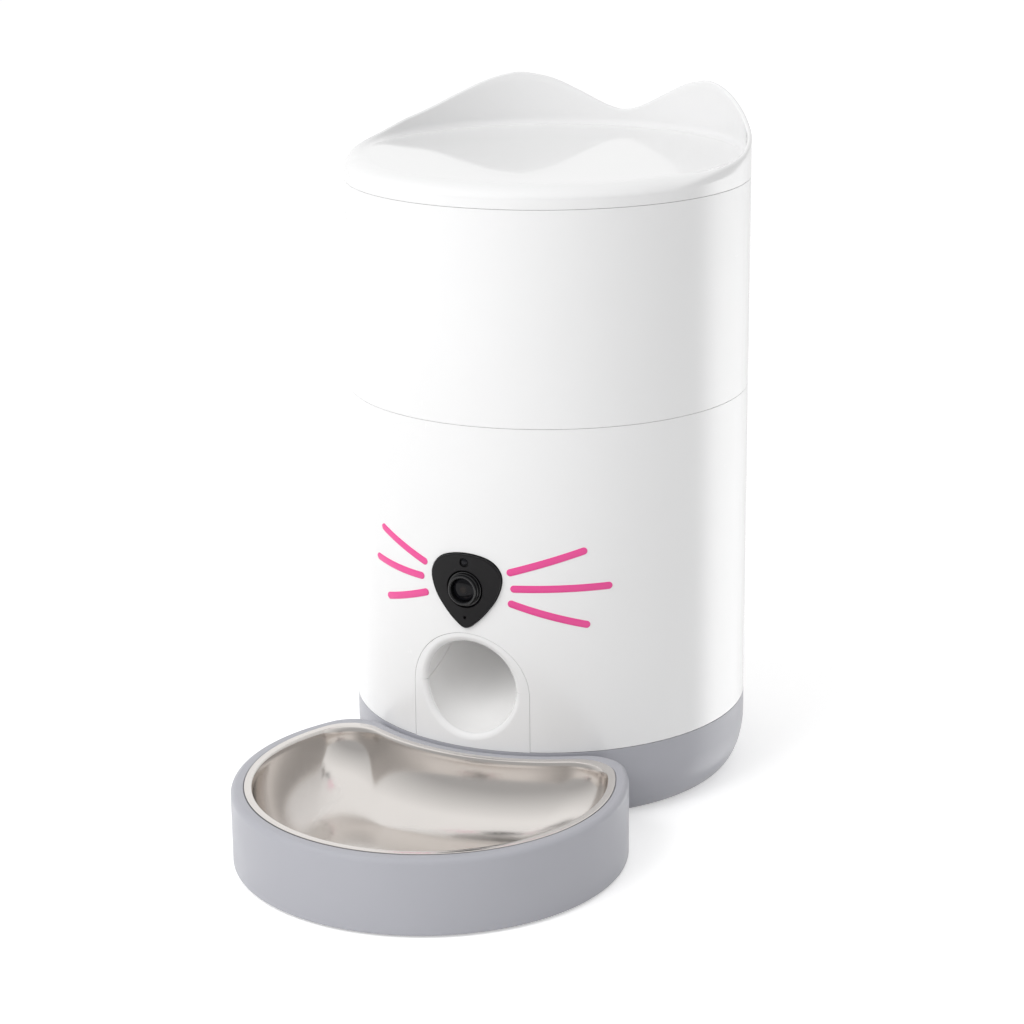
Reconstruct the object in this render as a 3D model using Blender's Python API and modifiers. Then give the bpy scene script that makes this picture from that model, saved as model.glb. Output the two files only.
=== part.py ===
"""Pet feeder with a camera: a round body, a lift-off hopper, an eared lid and a docked bowl.

The origin is on the floor under the middle of the feeder's box. +Z is up and the bowl is at -Y.
Every length is in metres. Pieces are placed from the body's axis, which an empty marks.
"""

import math

import bmesh
import bpy
from mathutils import Matrix, Vector

# Clearances and general sizes
FIT = 0.0003
SEAM = 0.0004
OVERRUN = 0.005
MERGE = 0.00001
SMOOTH_ANGLE = math.radians(35)

# Body: the round shell, its grey base and the heights of its seams
BODY_RADIUS = 0.0975
SHELL_WALL = 0.0025
FOOT_PROUD = 0.001
BASE_TOP = 0.0374
LOWER_HEIGHT = 0.1583
HOPPER_HEIGHT = 0.1010
BASE_ROUND_WIDTH = 0.012
BASE_ROUND_HEIGHT = 0.025
SPIGOT_WALL = 0.002
SPIGOT_HEIGHT = 0.004

# Underside: cover plate, ledge, bosses, screws and feet
PLATE_INSET = 0.0195
PLATE_THICKNESS = 0.0025
LEDGE_WIDTH = 0.009
BOSS_INSET = 0.0230
BOSS_RADIUS = 0.004
BOSS_HEIGHT = 0.010
SCREW_SHANK = 0.0013
SCREW_HEAD = 0.0028
SCREW_HEAD_HEIGHT = 0.0014
SCREW_LENGTH = 0.011
FOOT_INSET = 0.0395
FOOT_RADIUS = 0.008
FOOT_RECESS = 0.0008

# Dispensing deck with its well, drop hole and guard
DECK_DROP = 0.006
DECK_THICKNESS = 0.0025
DECK_LEDGE = 0.004
DECK_GUSSET = 0.005
WELL_RADIUS = 0.050
WELL_WALL = 0.003
WELL_DEPTH = 0.030
DROP_RADIUS = 0.014
DROP_OFFSET = 0.033
GUARD_THICKNESS = 0.0015
GUARD_REBATE = 0.002
GUARD_STEP = 0.0012
GUARD_INNER = 0.0125
GUARD_SPREAD = math.radians(38)

# Rotor, shaft, bush and gears
ROTOR_CLEARANCE = 0.0008
ROTOR_HUB = 0.009
VANE_COUNT = 6
VANE_THICKNESS = 0.002
SHAFT_RADIUS = 0.003
BUSH_WALL = 0.0022
BUSH_FLANGE = 0.002
BUSH_FLANGE_THICKNESS = 0.0012
GEAR_MODULE = 0.00125
GEAR_TEETH = 22
PINION_TEETH = 10
GEAR_WIDTH = 0.006

# Gear motor and its bracket
MOTOR_RADIUS = 0.014
MOTOR_LENGTH = 0.030
MOTOR_SHAFT = 0.0015
MOTOR_SHAFT_DEPTH = 0.006
BRACKET_WIDTH = 0.048
BRACKET_DEPTH = 0.032
BRACKET_THICKNESS = 0.002
BRACKET_LEG = 0.003
BRACKET_HOLE = 0.004
BRACKET_DROP = 0.0015
MOTOR_SCREW_SPREAD = 0.0108
MOTOR_SCREW_LENGTH = 0.005

# Outlet: mouth, arched cover and the chute behind it
MOUTH_HEIGHT = 0.0298
MOUTH_RADIUS = 0.0228
MOUTH_FILLET = 0.0036
CHUTE_WALL = 0.0022
CHUTE_TOP_RADIUS = 0.0146
CHUTE_SLOPE = 0.006
CHUTE_REACH = 0.042
ARCH_HALF_WIDTH = 0.0300
ARCH_HEIGHT = 0.0573

# Camera nose: panel, barrel, lens, light sensor, microphone and board
NOSE_WIDTH = 0.0355
NOSE_HEIGHT = 0.0362
NOSE_BOTTOM = 0.0605
NOSE_PROUD = 0.0018
LENS_HEIGHT = 0.0192
CAMERA_HOLE = 0.0090
BARREL_RADIUS = 0.0084
BARREL_PROUD = 0.0028
BARREL_BEZEL = 0.0012
BARREL_APERTURE = 0.004
LENS_RADIUS = 0.0058
LENS_DEPTH = 0.0016
LENS_DOME = 0.0014
LENS_THICKNESS = 0.003
SENSOR_RISE = 0.0130
SENSOR_RADIUS = 0.0019
MIC_DROP = 0.0140
MIC_HOLE = 0.0007
MIC_RADIUS = 0.0026
MIC_LENGTH = 0.003
CAMERA_BOARD_WIDTH = 0.026
CAMERA_BOARD_HEIGHT = 0.022
CAMERA_BOARD_SETBACK = 0.0125
CAMERA_BLOCK = 0.013
CAMERA_BLOCK_DEPTH = 0.005
NOSE_POST_SPREAD = 0.0105
NOSE_POST_RADIUS = 0.0018

# Whiskers: thin printed strokes on the front of the body
WHISKER_GAP = 0.0001
WHISKER_THICKNESS = 0.0004
WHISKER_WIDTH = 0.0035

# Rear: power inlet, reset button, switch and their board
INLET_HEIGHT = 0.016
INLET_RADIUS = 0.006
INLET_FLANGE = 0.0015
INLET_FLANGE_THICKNESS = 0.0015
INLET_BORE = 0.0033
INLET_BORE_DEPTH = 0.009
INLET_PIN_RADIUS = 0.0009
INLET_PIN_LENGTH = 0.004
BUTTON_HEIGHT = 0.036
BUTTON_RADIUS = 0.0045
BUTTON_TRAVEL = 0.001
BUTTON_FLANGE = 0.0015
BUTTON_PIN_RADIUS = 0.002
BUTTON_PIN_LENGTH = 0.004
FACE_RECESS = 0.0002
REAR_BOARD_WIDTH = 0.032
REAR_BOARD_HEIGHT = 0.040
REAR_BOARD_SETBACK = 0.0115
REAR_POST_SPREAD = 0.0125
REAR_POST_RADIUS = 0.0022
SWITCH_SIZE = 0.006

# Main board and speaker on the cover plate
BOARD_THICKNESS = 0.0016
BOARD_POST_RADIUS = 0.0025
BOARD_POST_HEIGHT = 0.006
BOARD_POST_INSET = 0.005
CHIP_HEIGHT = 0.0015
PLUG_HEIGHT = 0.006
SPEAKER_RADIUS = 0.018
SPEAKER_HEIGHT = 0.009
SPEAKER_OFFSET = 0.034
SPEAKER_RIM = 0.002
SLOT_WIDTH = 0.0018
SLOT_PITCH = 0.0045
SLOT_LENGTH = 0.022
SLOT_COUNT = 5

# Food tank inside the hopper shell
TANK_GAP = 0.004
TANK_WALL = 0.002
TANK_FLANGE_DROP = 0.0077
TANK_FLANGE_THICKNESS = 0.002
TANK_LEDGE = 0.0035
THROAT_INSET = 0.003
TANK_THROAT_CLEARANCE = 0.0005
FUNNEL_BOTTOM = 0.004
FUNNEL_TOP = 0.041

# Lid with ears, its plug skirt, seal and desiccant box
LID_RISE = 0.0102
LID_ROUND_WIDTH = 0.012
LID_ROUND_HEIGHT = 0.006
LID_WALL = 0.0025
EAR_RISE = 0.0266
EAR_WALL = 0.0022
EAR_FOOT = 0.004
SKIRT_WALL = 0.004
SKIRT_DEPTH = 0.0105
SEAL_HEIGHT = 0.003
SEAL_PROUD = 0.0012
SEAL_SEAT = 0.0015
SEAL_LIFT = 0.003
DESICCANT_RADIUS = 0.028
DESICCANT_DEPTH = 0.017
DESICCANT_WALL = 0.002
DESICCANT_CAP = 0.002
DESICCANT_GRIP = 0.003
VENT_WIDTH = 0.002
VENT_LENGTH = 0.012
VENT_CIRCLE = 0.014
VENT_COUNT = 8

# Docked bowl: grey holder and steel dish
DOCK_OFFSET = 0.0412
HOLDER_INSET = 0.0055
HOLDER_TOP = 0.0370
DOCK_GAP = 0.0008
HOLDER_CORNER = 0.018
HOLDER_RIM_ROUND = 0.005
HOLDER_RIM = 0.0062
HOLDER_EDGE = 0.0015
HOLDER_FLOOR = 0.0025
HOLDER_WALL = 0.0025
DISH_RIM = 0.003
DISH_SEAT_WIDTH = 0.0022
DISH_GAUGE = 0.0008
DISH_PROUD = 0.0003
DISH_SWEEP = 0.030
DISH_FLOOR_GAP = 0.0008
TONGUE_WIDTH = 0.030
TONGUE_THICKNESS = 0.005
TONGUE_LENGTH = 0.011
TONGUE_HEIGHT = 0.008
HOLDER_FOOT_RADIUS = 0.006
HOLDER_FOOT_INSET = 0.018
HOLDER_FOOT_BEARINGS = (math.radians(20), math.radians(160), math.radians(270))

# Counts of facets
BODY_STEPS = 48
SMALL_STEPS = 12
ROUND_PART_STEPS = 16
CAP_STEPS = 24
LID_ROUND_STEPS = 6
MOUTH_STEPS = 24
CHUTE_STEPS = 9
CHUTE_SIDE_STEPS = 4
ROUND_STEPS = 3
OUTLINE_STEPS = 3
DISH_SWEEP_STEPS = 6
BOWL_FRONT_STEPS = 24
BOWL_CORNER_STEPS = 3
BOWL_REAR_STEPS = 10

# Shares: outlines and curves as parts of the sizes that they follow
EAR_SHARES = (
    (0, 0.31), (5.5, 0.39), (10.6, 0.54), (15.7, 0.70), (21.5, 0.865), (27, 0.955), (33, 1.0),
    (41.3, 0.90), (52.3, 0.65), (61, 0.45), (71, 0.295), (81, 0.215), (91.7, 0.175), (104, 0.138),
    (113, 0.09), (124, 0.0),
)
EAR_BLEND_SHARE = 0.30
NOSE_SHARES = (
    (0, 0), (0.30, 0.09), (0.60, 0.245), (0.86, 0.43), (1.0, 0.65), (0.92, 0.82), (0.60, 0.95), (0, 1.0),
)
LEFT_WHISKER_SHARES = (
    ((1.279, 0.801), (2.890, 1.097), 0.0), ((1.397, 0.594), (3.172, 0.660), -0.013),
    ((1.256, 0.381), (2.687, 0.174), -0.012),
)
RIGHT_WHISKER_SHARES = (
    ((1.239, 0.796), (3.172, 1.086), 0.0), ((1.335, 0.577), (3.848, 0.599), 0.0),
    ((1.262, 0.373), (3.245, 0.094), -0.010),
)
TOOTH_ROOT_SHARE = 0.29
TOOTH_TIP_SHARE = 0.12
TOOTH_HEIGHT_SHARE = 1.0
TOOTH_DEPTH_SHARE = 1.25
CHUTE_STRAIGHT_SHARE = 0.515
BOARD_WIDTH_SHARE = 0.76
BOARD_DEPTH_SHARE = 0.49
BOARD_PART_SHARES = (
    ("processor", -0.20, 0.05, 0.20, CHIP_HEIGHT),
    ("radio", 0.22, -0.15, 0.16, CHIP_HEIGHT),
    ("power_plug", 0.30, 0.30, 0.12, PLUG_HEIGHT),
    ("motor_plug", -0.30, 0.34, 0.12, PLUG_HEIGHT),
)

# Heights and places that follow from the sizes above
MID_SEAM = BASE_TOP + LOWER_HEIGHT
LID_SEAM = MID_SEAM + HOPPER_HEIGHT
LID_TOP = LID_SEAM + LID_RISE
INNER_RADIUS = BODY_RADIUS - SHELL_WALL
PLATE_RADIUS = BODY_RADIUS - PLATE_INSET
BOSS_CIRCLE = BODY_RADIUS - BOSS_INSET
FOOT_CIRCLE = BODY_RADIUS - FOOT_INSET
BOARD_WIDTH = BOARD_WIDTH_SHARE * BODY_RADIUS
BOARD_DEPTH = BOARD_DEPTH_SHARE * BODY_RADIUS
BOARD_OFFSET = BOARD_DEPTH / 2
TANK_RADIUS = INNER_RADIUS - TANK_GAP
TANK_THROAT = WELL_RADIUS - THROAT_INSET
SKIRT_RADIUS = TANK_RADIUS - TANK_WALL - SEAL_PROUD - FIT
SPIGOT_RADIUS = INNER_RADIUS - FIT
SPIGOT_INNER = SPIGOT_RADIUS - SPIGOT_WALL
PLATE_TOP = FOOT_PROUD + PLATE_THICKNESS
LEDGE_BOTTOM = PLATE_TOP + FIT
LEDGE_TOP = LEDGE_BOTTOM + SHELL_WALL
DECK_TOP = MID_SEAM - DECK_DROP
DECK_UNDERSIDE = DECK_TOP - DECK_THICKNESS
WELL_FLOOR = DECK_TOP - WELL_DEPTH
WELL_UNDERSIDE = WELL_FLOOR - DECK_THICKNESS
ROTOR_BOTTOM = WELL_FLOOR + ROTOR_CLEARANCE
ROTOR_TOP = DECK_TOP - GUARD_REBATE - ROTOR_CLEARANCE
ROTOR_RADIUS = WELL_RADIUS - ROTOR_CLEARANCE
BUSH_BORE = SHAFT_RADIUS + FIT
BUSH_RADIUS = BUSH_BORE + BUSH_WALL
BUSH_BOTTOM = WELL_UNDERSIDE - FIT - BUSH_FLANGE_THICKNESS
GEAR_TOP = BUSH_BOTTOM - FIT
GEAR_BOTTOM = GEAR_TOP - GEAR_WIDTH
GEAR_PITCH = GEAR_MODULE * GEAR_TEETH / 2
PINION_PITCH = GEAR_MODULE * PINION_TEETH / 2
GEAR_DISTANCE = GEAR_PITCH + PINION_PITCH
BRACKET_TOP = GEAR_BOTTOM - BRACKET_DROP
MOTOR_TOP = BRACKET_TOP - BRACKET_THICKNESS - FIT
MOUTH_Z = BASE_TOP + MOUTH_HEIGHT
NOSE_Z = BASE_TOP + NOSE_BOTTOM
LENS_Z = NOSE_Z + LENS_HEIGHT
NOSE_FACE = BODY_RADIUS + NOSE_PROUD
CAMERA_BOARD_FRONT = INNER_RADIUS - CAMERA_BOARD_SETBACK + FIT
BARREL_BACK = CAMERA_BOARD_FRONT + CAMERA_BLOCK_DEPTH + FIT
INLET_Z = BASE_TOP + INLET_HEIGHT
BUTTON_Z = BASE_TOP + BUTTON_HEIGHT
REAR_BOARD_FRONT = INNER_RADIUS - REAR_BOARD_SETBACK
DOCK_DISTANCE = BODY_RADIUS + DOCK_OFFSET
HOLDER_RADIUS = BODY_RADIUS - HOLDER_INSET
HOLDER_FOOT_CIRCLE = HOLDER_RADIUS - HOLDER_FOOT_INSET
HOLDER_REACH = DOCK_DISTANCE + HOLDER_RADIUS
BODY_Y = (HOLDER_REACH - BODY_RADIUS) / 2
NEST_RADIUS = BODY_RADIUS + DOCK_GAP
FACE_FRONT = (math.radians(90), 0, 0)
FACE_REAR = (math.radians(-90), 0, 0)


def clear_scene():
    for obj in list(bpy.data.objects):
        bpy.data.objects.remove(obj)


def new_collection(name):
    collection = bpy.data.collections.new(name)
    bpy.context.scene.collection.children.link(collection)
    return collection


def plastic(name, colour, roughness, metallic=0.0, transmission=0.0):
    """A Principled material of one colour."""
    material = bpy.data.materials.new(name)
    material.use_nodes = True
    shader = material.node_tree.nodes["Principled BSDF"]
    shader.inputs["Base Color"].default_value = (*colour, 1)
    shader.inputs["Roughness"].default_value = roughness
    shader.inputs["Metallic"].default_value = metallic
    shader.inputs["Transmission Weight"].default_value = transmission
    material.diffuse_color = (*colour, 1)
    return material


def place(name, mesh, material, parent, location=(0, 0, 0), rotation=(0, 0, 0)):
    """An object in the parts collection or, with no material, a hidden tool for a Boolean."""
    mesh.shade_smooth()
    mesh.set_sharp_from_angle(angle=SMOOTH_ANGLE)
    obj = bpy.data.objects.new(name, mesh)
    obj.parent = parent
    obj.location = location
    obj.rotation_euler = rotation
    if material is None:
        TOOLS.objects.link(obj)
        obj.hide_render = True
        obj.display_type = "WIRE"
    else:
        mesh.materials.append(material)
        PARTS.objects.link(obj)
    return obj


def boolean(obj, tool, operation="DIFFERENCE"):
    step = obj.modifiers.new(tool.name, "BOOLEAN")
    step.operation = operation
    step.object = tool
    step.solver = "EXACT"


def turned(name, profile, material, parent, steps=BODY_STEPS, ring=False, **where):
    """A solid of revolution about local Z. The profile runs down its outer side."""
    count = len(profile)
    edges = [(i, i + 1) for i in range(count - 1)]
    if ring:
        edges.append((count - 1, 0))
    mesh = bpy.data.meshes.new(name)
    mesh.from_pydata([(r, 0, z) for r, z in profile], edges, [])
    obj = place(name, mesh, material, parent, **where)
    screw = obj.modifiers.new("turn", "SCREW")
    screw.steps = steps
    screw.render_steps = steps
    screw.use_merge_vertices = True
    screw.merge_threshold = MERGE
    return obj


def rod(name, radius, top, bottom, material, parent, steps=SMALL_STEPS, **where):
    profile = [(0, top), (radius, top), (radius, bottom), (0, bottom)]
    return turned(name, profile, material, parent, steps, **where)


def tube(name, outer, inner, top, bottom, material, parent, steps=BODY_STEPS, **where):
    profile = [(outer, top), (outer, bottom), (inner, bottom), (inner, top)]
    return turned(name, profile, material, parent, steps, ring=True, **where)


def box(name, size, centre, material, parent):
    mesh = bpy.data.meshes.new(name)
    shape = bmesh.new()
    bmesh.ops.create_cube(shape, size=1, matrix=Matrix.Diagonal((*size, 1)))
    shape.to_mesh(mesh)
    shape.free()
    return place(name, mesh, material, parent, location=centre)


def mesh_of(obj):
    """A curve object as a closed mesh. The curve is removed."""
    graph = bpy.context.evaluated_depsgraph_get()
    mesh = bpy.data.meshes.new_from_object(obj.evaluated_get(graph))
    shape = bmesh.new()
    shape.from_mesh(mesh)
    bmesh.ops.remove_doubles(shape, verts=shape.verts, dist=MERGE)
    bmesh.ops.recalc_face_normals(shape, faces=shape.faces)
    shape.to_mesh(mesh)
    shape.free()
    bpy.data.objects.remove(obj)
    return mesh


def plate(name, outline, thickness, material, parent, **where):
    """A flat outline in local XY, centred on its thickness along local Z."""
    curve = bpy.data.curves.new(name, "CURVE")
    curve.dimensions = "2D"
    curve.fill_mode = "BOTH"
    curve.extrude = thickness / 2
    spline = curve.splines.new("POLY")
    spline.points.add(len(outline) - 1)
    for point, (x, y) in zip(spline.points, outline):
        point.co = (x, y, 0, 1)
    spline.use_cyclic_u = True
    helper = bpy.data.objects.new(name, curve)
    TOOLS.objects.link(helper)
    return place(name, mesh_of(helper), material, parent, **where)


def pipe(name, points, radii):
    """The mesh of a tube along points, whose radius changes from point to point."""
    widest = max(radii)
    curve = bpy.data.curves.new(name, "CURVE")
    curve.dimensions = "3D"
    curve.bevel_depth = widest
    curve.bevel_resolution = CHUTE_SIDE_STEPS
    curve.use_fill_caps = True
    spline = curve.splines.new("POLY")
    spline.points.add(len(points) - 1)
    for point, place_, radius in zip(spline.points, points, radii):
        point.co = (*place_, 1)
        point.radius = radius / widest
    helper = bpy.data.objects.new(name, curve)
    TOOLS.objects.link(helper)
    return mesh_of(helper)


def lofted(name, rings, material, parent, **where):
    """A closed body through rings of points that match one to one, with flat end caps."""
    mesh = bpy.data.meshes.new(name)
    shape = bmesh.new()
    rows = [[shape.verts.new(point) for point in ring] for ring in rings]
    count = len(rows[0])
    for low, high in zip(rows, rows[1:]):
        for i in range(count):
            j = (i + 1) % count
            shape.faces.new((low[i], low[j], high[j], high[i]))
    shape.faces.new(rows[0])
    shape.faces.new(reversed(rows[-1]))
    bmesh.ops.recalc_face_normals(shape, faces=shape.faces)
    shape.to_mesh(mesh)
    shape.free()
    return place(name, mesh, material, parent, **where)


def arc(centre, radius, start, end, steps, height=None):
    """Points on an arc, or on an ellipse's arc where a height differs from the radius."""
    rise = radius if height is None else height
    angles = [start + (end - start) * i / steps for i in range(steps + 1)]
    return [(centre[0] + radius * math.cos(a), centre[1] + rise * math.sin(a)) for a in angles]


def smooth_line(points, steps, closed):
    """A Catmull-Rom line through points."""
    count = len(points)
    line = []
    for i in range(count if closed else count - 1):
        if closed:
            near = [points[(i + k) % count] for k in (-1, 0, 1, 2)]
        else:
            near = [points[min(max(i + k, 0), count - 1)] for k in (-1, 0, 1, 2)]
        a, b, c, d = (Vector(p) for p in near)
        for step in range(steps):
            t = step / steps
            bend = (2 * a - 5 * b + 4 * c - d) * t * t + (3 * b - a - 3 * c + d) * t ** 3
            line.append(tuple(b + ((c - a) * t + bend) / 2))
    if not closed:
        line.append(tuple(points[-1]))
    return line


def screw_at(name, spot, head_bottom, shank_top, parent):
    """A pan-head screw that goes up from its head."""
    head_top = head_bottom + SCREW_HEAD_HEIGHT
    profile = [
        (0, shank_top), (SCREW_SHANK, shank_top), (SCREW_SHANK, head_top),
        (SCREW_HEAD, head_top), (SCREW_HEAD, head_bottom), (0, head_bottom),
    ]
    return turned(name, profile, METAL, parent, SMALL_STEPS, location=(*spot, 0))


def around(count, radius, first=0.0):
    """Points evenly round a circle."""
    turns = [first + 2 * math.pi * i / count for i in range(count)]
    return [(radius * math.cos(a), radius * math.sin(a)) for a in turns]


def base_shell(axis):
    """Grey base ring with a rounded foot, a ledge for the cover plate and a spigot on top."""
    flat = BODY_RADIUS - BASE_ROUND_WIDTH
    curve_top = FOOT_PROUD + BASE_ROUND_HEIGHT
    outer = arc((flat, curve_top), BASE_ROUND_WIDTH, 0, -math.pi / 2, ROUND_STEPS + 1, BASE_ROUND_HEIGHT)
    inner = arc((flat, curve_top), SPIGOT_INNER - flat, -math.pi / 2, 0, ROUND_STEPS, curve_top - LEDGE_TOP)
    profile = [
        (BODY_RADIUS, BASE_TOP - SEAM / 2),
        *outer,
        (PLATE_RADIUS + FIT, FOOT_PROUD),
        (PLATE_RADIUS + FIT, LEDGE_BOTTOM),
        (PLATE_RADIUS - LEDGE_WIDTH, LEDGE_BOTTOM),
        (PLATE_RADIUS - LEDGE_WIDTH, LEDGE_TOP),
        *inner,
        (SPIGOT_INNER, BASE_TOP + SPIGOT_HEIGHT),
        (SPIGOT_RADIUS, BASE_TOP + SPIGOT_HEIGHT),
        (SPIGOT_RADIUS, BASE_TOP - SEAM / 2),
    ]
    shell = turned("base_shell", profile, GREY, axis, ring=True)
    for i, spot in enumerate(BOSS_SPOTS):
        top = LEDGE_TOP + BOSS_HEIGHT
        bottom = LEDGE_BOTTOM + SHELL_WALL / 2
        post = rod(f"boss_{i}", BOSS_RADIUS, top, bottom, None, axis, location=(*spot, 0))
        boolean(shell, post, "UNION")
    for i, spot in enumerate(BOSS_SPOTS):
        top = PLATE_TOP + SCREW_LENGTH
        hole = rod(f"boss_hole_{i}", SCREW_SHANK + FIT, top, FOOT_PROUD, None, axis, location=(*spot, 0))
        boolean(shell, hole)
    slot_size = (TONGUE_WIDTH + 2 * FIT, 2 * (TONGUE_LENGTH + OVERRUN), TONGUE_THICKNESS + 2 * FIT)
    slot = box("tongue_slot", slot_size, (0, -NEST_RADIUS, TONGUE_Z), None, axis)
    boolean(shell, slot)
    return shell


def base_plate(axis):
    """Cover plate under the body, with board posts, speaker slots and recesses for feet and screws."""
    cover = rod("base_plate", PLATE_RADIUS, PLATE_TOP, FOOT_PROUD, GREY, axis, BODY_STEPS)
    for i, (x, y) in enumerate(BOARD_POSTS):
        top = PLATE_TOP + BOARD_POST_HEIGHT
        post = rod(f"board_post_{i}", BOARD_POST_RADIUS, top, PLATE_TOP - FIT, None, axis, location=(x, y, 0))
        boolean(cover, post, "UNION")
    for i, spot in enumerate(BOSS_SPOTS):
        top = PLATE_TOP + OVERRUN
        hole = rod(f"plate_hole_{i}", SCREW_SHANK + FIT, top, 0, None, axis, location=(*spot, 0))
        boolean(cover, hole)
        top = FOOT_PROUD + SCREW_HEAD_HEIGHT + 2 * FIT
        sink = rod(f"plate_sink_{i}", SCREW_HEAD + FIT, top, 0, None, axis, location=(*spot, 0))
        boolean(cover, sink)
    for i, spot in enumerate(FOOT_SPOTS):
        top = FOOT_PROUD + FOOT_RECESS
        seat = rod(
            f"foot_seat_{i}", FOOT_RADIUS + FIT, top, 0, None, axis, ROUND_PART_STEPS, location=(*spot, 0)
        )
        boolean(cover, seat)
    for i in range(SLOT_COUNT):
        x = (i - (SLOT_COUNT - 1) / 2) * SLOT_PITCH
        size = (SLOT_WIDTH, SLOT_LENGTH, 2 * (PLATE_THICKNESS + OVERRUN))
        slot = box(f"speaker_slot_{i}", size, (x, -SPEAKER_OFFSET, PLATE_TOP), None, axis)
        boolean(cover, slot)
    return cover


def feet_and_screws(axis):
    for i, spot in enumerate(FOOT_SPOTS):
        top = FOOT_PROUD + FOOT_RECESS - FIT
        rod(f"base_foot_{i + 1}", FOOT_RADIUS, top, 0, RUBBER, axis, ROUND_PART_STEPS, location=(*spot, 0))
    for i, spot in enumerate(BOSS_SPOTS):
        screw_at(f"base_screw_{i + 1}", spot, FOOT_PROUD + FIT, PLATE_TOP + SCREW_LENGTH - FIT, axis)


def lower_body_shell(axis):
    """White lower shell with a ledge for the deck, and openings for nose, outlet, inlet and button."""
    ledge_top = DECK_UNDERSIDE - FIT
    profile = [
        (BODY_RADIUS, MID_SEAM - SEAM / 2),
        (BODY_RADIUS, BASE_TOP + SEAM / 2),
        (INNER_RADIUS, BASE_TOP + SEAM / 2),
        (INNER_RADIUS, ledge_top - DECK_GUSSET),
        (INNER_RADIUS - DECK_LEDGE, ledge_top - DECK_THICKNESS / 2),
        (INNER_RADIUS - DECK_LEDGE, ledge_top),
        (INNER_RADIUS, ledge_top),
        (INNER_RADIUS, MID_SEAM - SEAM / 2),
    ]
    shell = turned("lower_body_shell", profile, WHITE, axis, ring=True)
    boolean(shell, front_prism("nose_opening", nose_outline(FIT), NOSE_Z, None, axis))
    boolean(shell, front_prism("arch_opening", arch_outline(SEAM / 2, OVERRUN), BASE_TOP, None, axis))
    for name, radius, height in (
        ("inlet_opening", INLET_RADIUS + FIT, INLET_Z),
        ("button_opening", BUTTON_RADIUS + FIT, BUTTON_Z),
    ):
        top, bottom = BODY_RADIUS + OVERRUN, INNER_RADIUS - OVERRUN
        hole = rod(name, radius, top, bottom, None, axis, location=(0, 0, height), rotation=FACE_REAR)
        boolean(shell, hole)
    for side in (-1, 1):
        spot = (side * REAR_POST_SPREAD, 0, REAR_BOARD_Z)
        reach = math.sqrt(INNER_RADIUS ** 2 - REAR_POST_SPREAD ** 2) + SHELL_WALL / 2
        post = rod(
            f"rear_post_{side}", REAR_POST_RADIUS, reach, REAR_BOARD_FRONT + FIT, None, axis,
            location=spot, rotation=FACE_REAR,
        )
        boolean(shell, post, "UNION")
    return shell


def front_prism(name, outline, height, material, parent):
    """An outline in X and Z, extruded along Y through the front of the body's wall."""
    depth = BODY_RADIUS + OVERRUN - math.sqrt(INNER_RADIUS ** 2 - (2 * ARCH_HALF_WIDTH) ** 2)
    middle = -(BODY_RADIUS + OVERRUN - depth / 2)
    return plate(name, outline, depth, material, parent, location=(0, middle, height), rotation=FACE_FRONT)


def nose_outline(grow=0.0):
    """Rounded triangle with its tip down, from shares of its half width and its height."""
    half = NOSE_WIDTH / 2 + grow
    right = [(x * half, z * (NOSE_HEIGHT + 2 * grow) - grow) for x, z in NOSE_SHARES]
    left = [(-x, z) for x, z in reversed(right[1:-1])]
    return smooth_line(right + left, OUTLINE_STEPS - 1, closed=True)


def arch_outline(grow=0.0, below=0.0):
    """Door shape: straight sides under a half circle. It reaches below the base seam by below."""
    half = ARCH_HALF_WIDTH + grow
    spring = ARCH_HEIGHT - ARCH_HALF_WIDTH
    return [(-half, -below), (half, -below), *arc((0, spring), half, 0, math.pi, MOUTH_STEPS // 2)]


def wall_band(name, inner, outer, bottom, top, axis):
    """A ring of the body's wall, which a prism is trimmed to."""
    return tube(name, outer, inner, top, bottom, None, axis)


def nose_panel(axis):
    """Black camera panel, with holes for barrel, light sensor and microphone, and two board posts."""
    panel = front_prism("nose_panel", nose_outline(), NOSE_Z, BLACK, axis)
    top = NOSE_Z + NOSE_HEIGHT + OVERRUN
    band = wall_band("nose_band", INNER_RADIUS, NOSE_FACE, NOSE_Z - OVERRUN, top, axis)
    boolean(panel, band, "INTERSECT")
    for side in (-1, 1):
        spot = (side * NOSE_POST_SPREAD, 0, LENS_Z)
        reach = math.sqrt(INNER_RADIUS ** 2 - NOSE_POST_SPREAD ** 2) + SHELL_WALL / 2
        post = rod(
            f"nose_post_{side}", NOSE_POST_RADIUS, reach, CAMERA_BOARD_FRONT + FIT, None, axis,
            location=spot, rotation=FACE_FRONT,
        )
        boolean(panel, post, "UNION")
    for name, radius, height in (
        ("camera_hole", CAMERA_HOLE, LENS_Z),
        ("sensor_hole", SENSOR_RADIUS + FIT, LENS_Z + SENSOR_RISE),
        ("mic_hole", MIC_HOLE, LENS_Z - MIC_DROP),
    ):
        top, bottom = NOSE_FACE + OVERRUN, INNER_RADIUS - OVERRUN
        hole = rod(name, radius, top, bottom, None, axis, location=(0, 0, height), rotation=FACE_FRONT)
        boolean(panel, hole)
    return panel


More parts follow.
